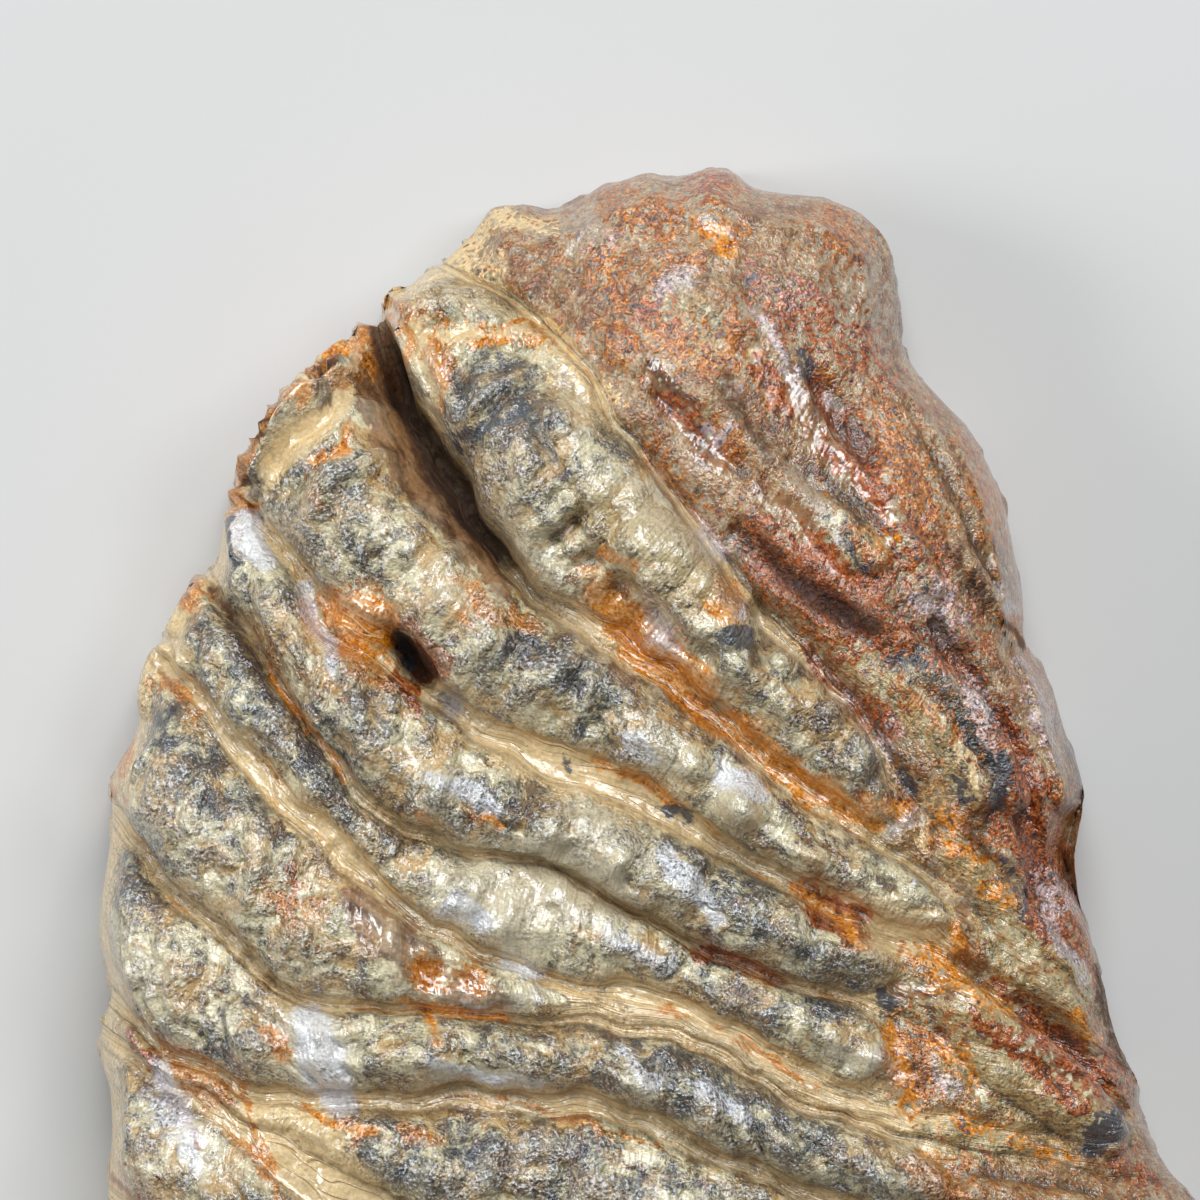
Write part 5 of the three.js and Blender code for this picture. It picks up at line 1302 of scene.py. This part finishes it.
    def sawn(
        self, ring: Points, ring_index: Grid, offset: int
    ) -> tuple[Points, list[tuple[int, ...]], Points]:
        """Fills the saw cut with triangles between its ring and a wide grid of inner places.

        Args:
            ring: places of the cut's ring.
            ring_index: their numbers in the mesh.
            offset: the number that the first inner place gets.

        Returns:
            The inner places, the faces, and the inner places' growth coordinates.
        """
        grid = self.face.grids(self.face.shares[6:-6:5], 3)
        keep = (slice(3, -3), slice(None))
        x, y = grid.x[keep].reshape(-1), grid.y[keep].reshape(-1)
        level = np.zeros(len(x))
        inner = onto_part(x, y, level)
        growth = np.column_stack([grid.along[keep].reshape(-1), grid.phase[keep].reshape(-1), level])
        count = len(ring)
        points = [Vector(p[:2]) for p in np.vstack([ring, inner]).tolist()]
        edges = [(i, (i + 1) % count) for i in range(count)]
        found = delaunay_2d_cdt(points, edges, [], 1, 1e-6)
        number = np.concatenate([ring_index, offset + np.arange(len(inner))])
        origin = [number[sources[0]] if sources else -1 for sources in found[3]]
        faces = [tuple(int(origin[v]) for v in reversed(face)) for face in found[2]]
        return inner, faces, growth


@dataclass(frozen=True)
class Wire:
    """A number, vector or colour on its way through a material. A sum on it adds the node that does it."""

    sheet: "NodeSheet"
    socket: bpy.types.NodeSocket

    def __add__(self, other: "Value") -> "Wire":
        """Returns this plus the other."""
        return self.sheet.maths("ADD", self, other)

    def __sub__(self, other: "Value") -> "Wire":
        """Returns this less the other."""
        return self.sheet.maths("SUBTRACT", self, other)

    def __rsub__(self, other: float) -> "Wire":
        """Returns a plain number less this."""
        return self.sheet.maths("SUBTRACT", other, self)

    def __mul__(self, other: "Value") -> "Wire":
        """Returns this times the other."""
        return self.sheet.maths("MULTIPLY", self, other)

    def most(self, other: "Value") -> "Wire":
        """Returns the greater of the two."""
        return self.sheet.maths("MAXIMUM", self, other)

    def least(self, other: "Value") -> "Wire":
        """Returns the lesser of the two."""
        return self.sheet.maths("MINIMUM", self, other)

    def step(self, low: float, high: float) -> "Wire":
        """Returns 0 at low and 1 at high, smooth between them. Low may be the greater."""
        ends = (low, high, 0.0, 1.0) if low < high else (high, low, 1.0, 0.0)
        return self.sheet.node("MapRange", dict(enumerate((self, *ends))), interpolation_type="SMOOTHSTEP")

    def scaled(self, x: float, y: float, z: float = 1.0) -> "Wire":
        """Returns a vector with each number multiplied."""
        return self.sheet.node("VectorMath", {0: self, 1: (x, y, z)}, operation="MULTIPLY")

    def parts(self) -> list["Wire"]:
        """Returns a vector's three numbers."""
        made = self.sheet.tree.nodes.new("ShaderNodeSeparateXYZ")
        self.sheet.feed(made.inputs[0], self)
        return [Wire(self.sheet, socket) for socket in made.outputs]


Value = Wire | float | Colour


@dataclass
class NodeSheet:
    """The nodes of one material."""

    material: bpy.types.Material

    def __post_init__(self) -> None:
        """Clears the material's tree."""
        self.material.use_nodes = True
        self.tree = self.material.node_tree
        self.tree.nodes.clear()

    def feed(self, socket: bpy.types.NodeSocket, value: Value) -> None:
        """Links a socket to a wire, or sets its plain value."""
        if isinstance(value, Wire):
            self.tree.links.new(value.socket, socket)
        elif socket.type == "RGBA":
            socket.default_value = (*value, 1.0)
        else:
            socket.default_value = value

    def node(
        self, kind: str, inputs: dict[str | int, Value], output: str | int = 0, **settings: object
    ) -> Wire:
        """Adds a node.

        Args:
            kind: its type, without the leading ShaderNode.
            inputs: what each input gets, by its name or number.
            output: the name or number of the output that is wanted.
            settings: the node's own properties.

        Returns:
            The wanted output.
        """
        made = self.tree.nodes.new("ShaderNode" + kind)
        for name, value in settings.items():
            setattr(made, name, value)
        for name, value in inputs.items():
            self.feed(made.inputs[name], value)
        return Wire(self, made.outputs[output])

    def maths(self, operation: str, a: Value, b: Value = 0.0) -> Wire:
        """Returns the result of one sum on two numbers."""
        return self.node("Math", {0: a, 1: b}, operation=operation)

    def attribute(self, name: str) -> list[Wire]:
        """Returns the three numbers of a mesh attribute."""
        return self.node("Attribute", {}, "Vector", attribute_name=name).parts()

    def join(self, x: Value, y: Value, z: Value = 0.0) -> Wire:
        """Returns the vector of three numbers."""
        return self.node("CombineXYZ", {0: x, 1: y, 2: z})

    def mixed(self, low: Value, high: Value, share: Value) -> Wire:
        """Returns the number a share of the way from low to high."""
        return self.node("Mix", {0: share, 2: low, 3: high}, data_type="FLOAT")

    def blend(self, low: Value, high: Value, share: Value, mode: str = "MIX") -> Wire:
        """Returns the colour a share of the way from low to high."""
        return self.node("Mix", {0: share, 6: low, 7: high}, 2, data_type="RGBA", blend_type=mode)

    def weighed(self, *shares: tuple[Wire, float]) -> Wire:
        """Returns the sum of wires, each times its number."""
        total = shares[0][0] * shares[0][1]
        for value, share in shares[1:]:
            total = self.node("Math", {0: value, 1: share, 2: total}, operation="MULTIPLY_ADD")
        return total

    def spread(
        self, middle: float, *noises: tuple[Wire, float], tints: tuple[tuple[Wire, float], ...] = ()
    ) -> Wire:
        """Returns noises, each taken about its mean of a half, spread by their numbers round a middle."""
        rest = middle - 0.5 * sum(share for _, share in noises)
        return self.weighed(*noises, *tints) + rest

    def noise(self, vector: Wire, scale: float, detail: float, roughness: float, bend: float = 0.0) -> Wire:
        """Returns layered noise from 0 to 1, with features about 1/scale wide."""
        given = {
            "Vector": vector, "Scale": scale, "Detail": detail,
            "Roughness": roughness, "Distortion": bend,
        }
        return self.node("TexNoise", given, "Fac")

    def cells(self, vector: Wire, push: Wire, scale: float) -> Wire:
        """Returns the distance to the nearest of scattered points, the vector pushed about by a number."""
        aside = self.join(push, push * -0.7, push * 0.4)
        bent = self.node("VectorMath", {0: vector, 1: aside}, operation="ADD")
        return self.node("TexVoronoi", {"Vector": bent, "Scale": scale}, "Distance")

    def ramp(self, value: Wire, stops: Stops) -> Wire:
        """Returns the colour at a number, blended between stops."""
        made = self.tree.nodes.new("ShaderNodeValToRGB")
        elements = made.color_ramp.elements
        for element, (place, colour) in zip(elements, (stops[0], stops[-1])):
            element.position, element.color = place, (*colour, 1.0)
        for place, colour in stops[1:-1]:
            elements.new(place).color = (*colour, 1.0)
        self.feed(made.inputs[0], value)
        return Wire(self, made.outputs[0])

    def wetted(self, colour: Wire, depth: float, richness: float) -> Wire:
        """Returns a colour as it looks under lacquer: raised to a power, and richer."""
        deeper = self.node("Gamma", {"Color": colour, "Gamma": depth})
        return self.node("HueSaturation", {"Color": deeper, "Saturation": richness})

    def eased(self, normal: Wire, share: Wire) -> Wire:
        """Returns a normal that is only a share of the way from the mesh's own to the given one."""
        own = self.node("NewGeometry", {}, "Normal")
        between = self.node("Mix", {0: share, 4: own, 5: normal}, 1, data_type="VECTOR")
        return self.node("VectorMath", {0: between}, operation="NORMALIZE")

    def bump(self, height: Wire) -> Wire:
        """Returns the normal of a height in millimetres."""
        return self.node("Bump", {"Strength": 1.0, "Distance": MM, "Height": height}, "Normal")


class Traits:
    """What the finish reads at each place: the mesh's attributes and the noises."""

    def __init__(self, sheet: NodeSheet) -> None:
        """Reads the attributes and lays the noises."""
        self.along, self.phase, self.relief = sheet.attribute("growth")
        self.cement, self.rust, self.red = sheet.attribute("tint_warm")
        self.slate, self.pale, self.veil_and_highlight = sheet.attribute("tint_cool_and_highlight")
        self.flesh, self.khaki, self.amber = sheet.attribute("tint_mild")
        self.plate, self.deep, self.black = sheet.attribute("form")
        self.sawn, self.root, _ = sheet.attribute("zone")
        place = sheet.node("TexCoord", {}, "Object").scaled(1000.0, 1000.0, 1000.0)
        flow = sheet.join(self.along, self.phase * 9.0)
        self.streak = sheet.noise(flow.scaled(0.13, 1.3), 1.0, 4.0, 0.62, 0.4)
        self.rings = sheet.noise(flow.scaled(1.5, 0.28), 1.0, 1.0, 0.5)
        self.specks = sheet.noise(flow.scaled(4.4, 1.5), 1.0, 1.0, 0.5)
        self.fibres = sheet.noise(flow.scaled(0.28, 2.0), 1.0, 1.0, 0.5)
        thread = sheet.noise(flow.scaled(0.085, 1.15), 1.0, 1.0, 0.5, 0.35)
        self.thread = sheet.maths("ABSOLUTE", thread - 0.5).step(0.022, 0.008)
        self.broad = sheet.noise(place, 0.17, 3.0, 0.60, 0.8)
        self.blotch = sheet.noise(place, 0.42, 4.0, 0.60, 0.25)
        self.cloudy = sheet.noise(place, 0.42, 1.0, 0.60)
        self.mottle = sheet.noise(place, 1.15, 4.0, 0.62, 0.2)
        self.grain = sheet.noise(place, 3.6, 2.0, 0.60)
        self.knobs = sheet.noise(place, 1.0, 1.0, 0.5)
        self.wrinkles = sheet.noise(place, 2.3, 1.0, 0.5)
        self.pebbles = sheet.cells(place, (self.knobs - 0.5) * 1.4, 2.1)
        self.fan = 1.0 - self.root
        self.bare = 1.0 - self.plate
        self.edge = self.plate * self.bare * 3.0 * self.fan
        self.seam = ((0.76 - self.plate) * self.fan + self.cement).most(0.0)
        self.root_ragged = sheet.weighed(
            (self.knobs, 0.80), (self.wrinkles, 0.35), (self.blotch, 0.20), (self.grain, 0.05)
        )
        fan_ragged = sheet.weighed(
            (self.mottle, 0.45), (self.blotch, 0.40), (self.grain, 0.05), (self.streak, 0.10)
        )
        self.ragged = sheet.mixed(fan_ragged, self.root_ragged - 0.20, self.root)
        calm = (self.seam * 0.8).most(self.flesh.most(self.amber))
        self.calm = calm.most(self.pale * 0.5).least(0.85)
        self.busy = 1.0 - self.calm
        self.tone = sheet.spread(
            0.472, (self.blotch, 1.25), (self.mottle, 0.8), (self.rings, 0.25), (self.streak, 0.3),
            tints=((self.slate, 0.19), (self.pale, -0.12)),
        )
        # Local relief with noise: drives painted shade in low places and painted light on raised ones
        self.relief_shading = self.relief + (self.mottle - 0.5) * 1.5
        # Dirt and painted shade in hollows, the crevice, deep seams and grooves
        self.dirt_and_shade = (self.deep + (self.mottle - 0.5) * 1.2).step(0.15, 0.85)
        self.threads = self.thread * (self.bare * self.fan).step(0.2, 0.7)


@dataclass(frozen=True)
class FossilFinish:
    """Lacquered fossil enamel and cement, mottled with mineral stains, with some light and shade painted into
    the colour. Colours are linear.
    """

    enamel: Stops = (
        (0.28, (0.80, 0.72, 0.51)), (0.40, (0.63, 0.56, 0.38)), (0.51, (0.46, 0.405, 0.265)),
        (0.60, (0.22, 0.205, 0.150)), (0.71, (0.044, 0.048, 0.052)),
    )
    root: Stops = (
        (0.28, (0.56, 0.42, 0.27)), (0.39, (0.44, 0.29, 0.155)), (0.48, (0.33, 0.165, 0.066)),
        (0.58, (0.21, 0.082, 0.028)), (0.72, (0.045, 0.030, 0.021)),
    )
    cement: Stops = (
        (0.28, (0.16, 0.062, 0.022)), (0.35, (0.58, 0.30, 0.11)), (0.42, (0.73, 0.53, 0.285)),
        (0.58, (0.77, 0.61, 0.385)), (0.74, (0.54, 0.485, 0.36)),
    )
    amber: Stops = (
        (0.31, (0.27, 0.085, 0.018)), (0.41, (0.60, 0.215, 0.038)), (0.53, (0.78, 0.345, 0.090)),
        (0.66, (0.82, 0.52, 0.27)),
    )
    rust: Stops = (
        (0.34, (0.11, 0.034, 0.010)), (0.44, (0.38, 0.110, 0.020)), (0.55, (0.56, 0.20, 0.042)),
        (0.68, (0.60, 0.38, 0.19)),
    )
    red: Stops = (
        (0.34, (0.060, 0.018, 0.007)), (0.43, (0.24, 0.052, 0.016)), (0.54, (0.46, 0.125, 0.036)),
        (0.68, (0.52, 0.27, 0.15)),
    )
    cream: Colour = (0.78, 0.61, 0.37)
    pale: Colour = (0.64, 0.58, 0.44)
    root_pale: Colour = (0.46, 0.365, 0.27)
    # Bluish white of the painted highlight veils and the painted glints
    veil_and_highlight: Colour = (0.80, 0.81, 0.85)
    flesh: Colour = (0.38, 0.22, 0.125)
    flesh_dark: Colour = (0.13, 0.060, 0.034)
    glaze: Colour = (0.50, 0.285, 0.10)
    khaki: Colour = (0.49, 0.365, 0.185)
    strand: Colour = (0.78, 0.60, 0.36)
    # Near-black of the dark marks at plate tips and in the pit
    near_black: Colour = (0.046, 0.058, 0.078)
    # Dark soil brown, used for dirt, dark seam edges and painted shade
    soil_and_shade: Colour = (0.046, 0.018, 0.009)
    wet_depth: float = 1.12
    wet_richness: float = 1.10
    roughness: float = 0.36
    coat: float = 1.0
    coat_roughness: float = 0.09
    enamel_ior: float = 1.6
    coat_ior: float = 1.75
    raggedness: float = 3.2
    cut_off: float = 0.14
    # Fine speckle, partly real and partly painted: shade in the bump's hollows and bluish highlight on its
    # peaks
    speckle_light_and_shade: Stops = (
        (0.26, (0.20, 0.19, 0.20)), (0.40, (0.78, 0.77, 0.75)), (0.54, (1.08, 1.08, 1.08)),
        (0.74, (1.6, 1.62, 1.66)),
    )
    cut: Stops = (
        (0.00, (0.36, 0.23, 0.12)), (0.22, (0.30, 0.24, 0.14)), (0.27, (0.12, 0.045, 0.014)),
        (0.285, (0.56, 0.51, 0.37)), (0.355, (0.60, 0.55, 0.42)), (0.37, (0.07, 0.07, 0.065)),
        (0.42, (0.20, 0.17, 0.11)), (0.50, (0.38, 0.25, 0.13)),
    )

    def make(self) -> bpy.types.Material:
        """Lays out the material.

        Returns:
            A material that reads Object coordinates and the slice's growth, tint, form and zone attributes.
        """
        sheet = NodeSheet(bpy.data.materials.new("lacquered_fossil"))
        traits = Traits(sheet)
        colour = self.ground(sheet, traits)
        colour = self.stained(sheet, traits, colour)
        colour = self.weathered(sheet, traits, colour)
        cut = traits.sawn.step(0.4, 0.6)
        colour = sheet.blend(colour, self.cut_colour(sheet, traits), cut)
        normal = sheet.bump(self.height(sheet, traits) * (1.0 - cut * 0.97))
        dry = traits.seam.least(1.0) * 0.45 + traits.dirt_and_shade * 0.9 + traits.root * 0.2
        shader = sheet.node("BsdfPrincipled", {
            "Base Color": colour,
            "Roughness": (traits.grain - 0.5) * 0.5 + traits.dirt_and_shade * 0.4 + self.roughness,
            "Normal": normal,
            "IOR": self.enamel_ior,
            "Coat Weight": (self.coat - dry).most(0.0).least(1.0),
            "Coat Roughness": self.coat_roughness,
            "Coat IOR": self.coat_ior,
            "Coat Normal": sheet.eased(normal, traits.root * 0.35 + 0.52),
        })
        output = sheet.tree.nodes.new("ShaderNodeOutputMaterial")
        sheet.feed(output.inputs["Surface"], shader)
        return sheet.material

    def ragged(self, tint: Wire, noise: Wire, middle: float, most: float) -> Wire:
        """Returns a stain's share: its soft tint, pushed about by noise and cut off sharply.

        Args:
            tint: the stain's strength, fading out from the middle of its patches.
            noise: layered noise about 0.5.
            middle: the level at which the stain is half there.
            most: the greatest share.
        """
        pushed = tint + (noise - 0.5) * self.raggedness
        return pushed.step(middle - self.cut_off, middle + self.cut_off) * most

    def ground(self, sheet: NodeSheet, traits: Traits) -> Wire:
        """Returns the colour of bare enamel and, on the root side, of bare root."""
        colour = sheet.ramp(traits.tone, self.enamel)
        warmth = sheet.spread(0.5, (traits.streak, 0.7), (traits.broad, 1.6), (traits.mottle, 0.5))
        glazed = warmth.step(0.43, 0.62) * (0.66 - traits.tone.step(0.48, 0.62) * 0.35)
        colour = sheet.blend(colour, self.glaze, glazed)
        colour = sheet.blend(colour, self.pale, self.ragged(traits.pale, traits.ragged, 0.55, 0.8))
        root_tone = sheet.spread(
            0.43, (traits.blotch, 0.7), (traits.knobs, 0.6), (traits.wrinkles, 0.7), (traits.grain, 0.5),
            (traits.streak, 0.4), tints=((traits.slate, 0.14),),
        )
        between = self.ragged(traits.pale, 1.2 - traits.root_ragged, 0.42, 0.8)
        root_colour = sheet.blend(sheet.ramp(root_tone, self.root), self.root_pale, between)
        shown = self.ragged(traits.root - traits.khaki * 0.8, traits.ragged, 0.28, 1.0)
        colour = sheet.blend(colour, root_colour, shown)
        ochre = self.ragged(traits.khaki - traits.slate, traits.ragged, 0.5, 0.6)
        return sheet.blend(colour, self.khaki, ochre)

    def stained(self, sheet: NodeSheet, traits: Traits, colour: Wire) -> Wire:
        """Returns the colour with cement and the warm stains over it, then strands and bluish-white veils
        that are mostly painted highlight.
        """
        creamy = traits.cement.step(0.3, 0.9) * 0.75
        cement = sheet.blend(sheet.ramp(traits.streak, self.cement), self.cream, creamy)
        fibrous = sheet.spread(0.5, (traits.streak, 0.7), (traits.fibres, 1.1), (traits.grain, 0.5))
        flesh = sheet.blend(self.flesh, self.flesh_dark, fibrous.step(0.42, 0.66))
        rusty = traits.rust * 0.85 + traits.edge * 0.30 + traits.root * 0.16
        warm = sheet.spread(0.5, (traits.mottle, 0.9), (traits.grain, 0.6), (traits.streak, 0.5))
        amber = sheet.ramp(warm, self.amber)
        rust = sheet.blend(amber, sheet.ramp(warm, self.rust), traits.root * 0.4 + 0.6)
        for tint, paint, middle, most in (
            (traits.seam, cement, 0.5, 0.95),
            (traits.flesh, flesh, 0.55, 0.85),
            (rusty, rust, 0.56, 0.8),
            (traits.red, sheet.ramp(warm, self.red), 0.52, 0.9),
            (traits.amber, amber, 0.55, 0.92),
        ):
            colour = sheet.blend(colour, paint, self.ragged(tint, traits.ragged, middle, most))
        colour = sheet.blend(colour, self.strand, traits.threads * 0.7)
        # Painted highlight: bluish-white clouds laid into the colour where the veil tint is strong
        veil_and_highlight_cloud = (traits.veil_and_highlight + (traits.ragged - 0.5) * 2.2).step(0.35, 0.95)
        return sheet.blend(colour, self.veil_and_highlight, veil_and_highlight_cloud * (0.72 - traits.root * 0.25))

    def weathered(self, sheet: NodeSheet, traits: Traits, colour: Wire) -> Wire:
        """Returns the colour with dirt and painted shade in what lies low, painted light on what stands out,
        speckle, painted glints and near-black marks.
        """
        rimmed = (traits.edge + (traits.mottle - 0.5) * 1.2).step(0.45, 0.85)
        colour = sheet.blend(colour, self.soil_and_shade, rimmed * 0.42)
        # Dirt and painted shade: darkens hollows, the crevice and grooves
        colour = sheet.blend(colour, self.soil_and_shade, traits.dirt_and_shade * 0.8)
        # Painted shade: the soil colour darkens places that lie low by the mesh's relief
        low_shade_share = traits.root * 0.25 + (0.42 - traits.calm * 0.35)
        low_shade_share = low_shade_share * (1.0 - traits.rust * 0.45).most(0.0)
        colour = sheet.blend(colour, self.soil_and_shade, traits.relief_shading.step(-0.15, -0.85) * low_shade_share)
        # Painted light: raised places are lightened towards the pale colour
        colour = sheet.blend(colour, self.pale, traits.relief_shading.step(0.25, 0.95) * (0.28 - traits.root * 0.2))
        # Speckle from the same noises as the bump: partly real grain, partly painted micro shade in hollows
        # and painted highlight on peaks
        speckle_light_and_shade = sheet.spread(
            0.5, (traits.knobs, 0.3), (traits.wrinkles, 0.6), (traits.grain, 1.2), (traits.specks, 0.3),
            (traits.rings, 0.22), (traits.pebbles, -0.35),
        )
        broken = traits.tone.step(0.38, 0.56).most(traits.root * 0.6)
        shown = sheet.weighed((broken, 0.50), (traits.tone.step(0.48, 0.62), 0.25)) + 0.30
        colour = sheet.blend(colour, sheet.ramp(speckle_light_and_shade, self.speckle_light_and_shade), traits.busy * shown + 0.08, "MULTIPLY")
        # Painted highlight: bluish-white specks on the peaks of the fine noise, on raised places, standing in
        # for glints
        painted_glints = speckle_light_and_shade.step(0.57, 0.72) * traits.busy * (broken * traits.fan)
        painted_glints = painted_glints * traits.relief_shading.step(-0.15, 0.35)
        colour = sheet.blend(colour, self.veil_and_highlight, painted_glints * 0.72)
        # Near-black marks at plate tips and in the pit
        colour = sheet.blend(colour, self.near_black, self.ragged(traits.black, traits.ragged, 0.55, 0.85))
        return sheet.wetted(colour, self.wet_depth, self.wet_richness)

    def height(self, sheet: NodeSheet, traits: Traits) -> Wire:
        """Returns the fine height in millimetres: pitted where busy, with lines along the growth."""
        fine = sheet.weighed((traits.knobs, 0.50), (traits.wrinkles, 0.28), (traits.grain, 0.36))
        uneven = sheet.spread(0.472, (traits.cloudy, 1.0), tints=((traits.slate, 0.19), (traits.pale, -0.12)))
        uneven = uneven.step(0.38, 0.56).most(traits.root * 0.6)
        rough = traits.busy * fine * (1.0 - traits.root * 0.4) * (uneven * 0.55 + 0.50)
        rough = rough + traits.calm * traits.knobs * 0.2
        lined = traits.rings * traits.plate * 0.35 + traits.fibres * traits.bare * 0.22
        return rough + (lined + traits.threads * 0.16)

    def cut_colour(self, sheet: NodeSheet, traits: Traits) -> Wire:
        """Returns the sawn face's colour: each plate cut through, two pale enamel lines round a tan core."""
        part = sheet.maths("FRACT", traits.phase + (traits.mottle - 0.5) * 0.10)
        return sheet.ramp(sheet.maths("ABSOLUTE", part - 0.5), self.cut)


@dataclass
class Studio:
    """The plain pale floor, soft lights and the camera that looks straight down on the face."""

    view_centre: tuple[float, float] = (60.0, 60.0)
    view_width: float = 120.0
    focus_height: float = 19.0
    lens: float = 300.0
    sensor: float = 36.0
    tint: Colour = (0.92, 0.96, 1.0)
    air: Colour = (0.95, 0.97, 1.0)
    air_strength: float = 0.12
    floor_reach: float = 1.6
    floor_gap: float = 0.0002
    floor_colour: Colour = (0.62, 0.61, 0.59)
    floor_roughness: float = 0.9

    def floor(self) -> None:
        """Lays the pale floor a hair under the slice."""
        mesh = bpy.data.meshes.new("floor")
        signs = ((-1, -1), (1, -1), (1, 1), (-1, 1))
        corners = [(self.floor_reach * x, self.floor_reach * y, -self.floor_gap) for x, y in signs]
        mesh.from_pydata(corners, [], [(0, 1, 2, 3)])
        piece = bpy.data.objects.new("floor", mesh)
        bpy.context.scene.collection.objects.link(piece)
        material = bpy.data.materials.new("pale_floor")
        material.use_nodes = True
        shader = material.node_tree.nodes["Principled BSDF"]
        shader.inputs["Base Color"].default_value = (*self.floor_colour, 1.0)
        shader.inputs["Roughness"].default_value = self.floor_roughness
        mesh.materials.append(material)

    def light(self, name: str, place: tuple[float, float, float], size: float, power: float) -> None:
        """Hangs one soft square light that faces the slice."""
        data = bpy.data.lights.new(name, "AREA")
        data.size = size
        data.energy = power
        data.color = self.tint
        lamp = bpy.data.objects.new(name, data)
        lamp.location = place
        lamp.rotation_euler = (-Vector(place)).to_track_quat("-Z", "Y").to_euler()
        bpy.context.scene.collection.objects.link(lamp)

    def build(self) -> None:
        """Sets the floor, lights, sky and camera."""
        self.floor()
        self.light("key", (0.06, 0.62, 0.82), 0.52, 8.8)
        self.light("sky", (0.40, 0.26, 0.88), 0.28, 2.0)
        self.light("left", (-0.76, 0.12, 0.55), 0.30, 3.6)
        world = bpy.data.worlds.new("studio_air")
        world.use_nodes = True
        air = world.node_tree.nodes["Background"]
        air.inputs[0].default_value = (*self.air, 1.0)
        air.inputs[1].default_value = self.air_strength
        scene = bpy.context.scene
        scene.world = world
        scene.view_settings.view_transform = "Standard"
        data = bpy.data.cameras.new("camera")
        data.lens = self.lens
        data.sensor_width = self.sensor
        camera = bpy.data.objects.new("camera", data)
        distance = self.view_width * self.lens / self.sensor
        camera.location = onto_part(*self.view_centre, distance + self.focus_height) * MM
        scene.collection.objects.link(camera)
        scene.camera = camera


def main() -> None:
    """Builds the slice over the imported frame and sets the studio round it."""
    logging.basicConfig(level=logging.INFO, format="%(name)s: %(message)s")
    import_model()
    molar = Molar(NaturalFace(), Dome()).build()
    molar.data.materials.append(FossilFinish().make())
    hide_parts(PART)
    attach(molar, "root")
    Studio().build()
    LOG.info("sizes written")


if __name__ == "__main__":
    main()
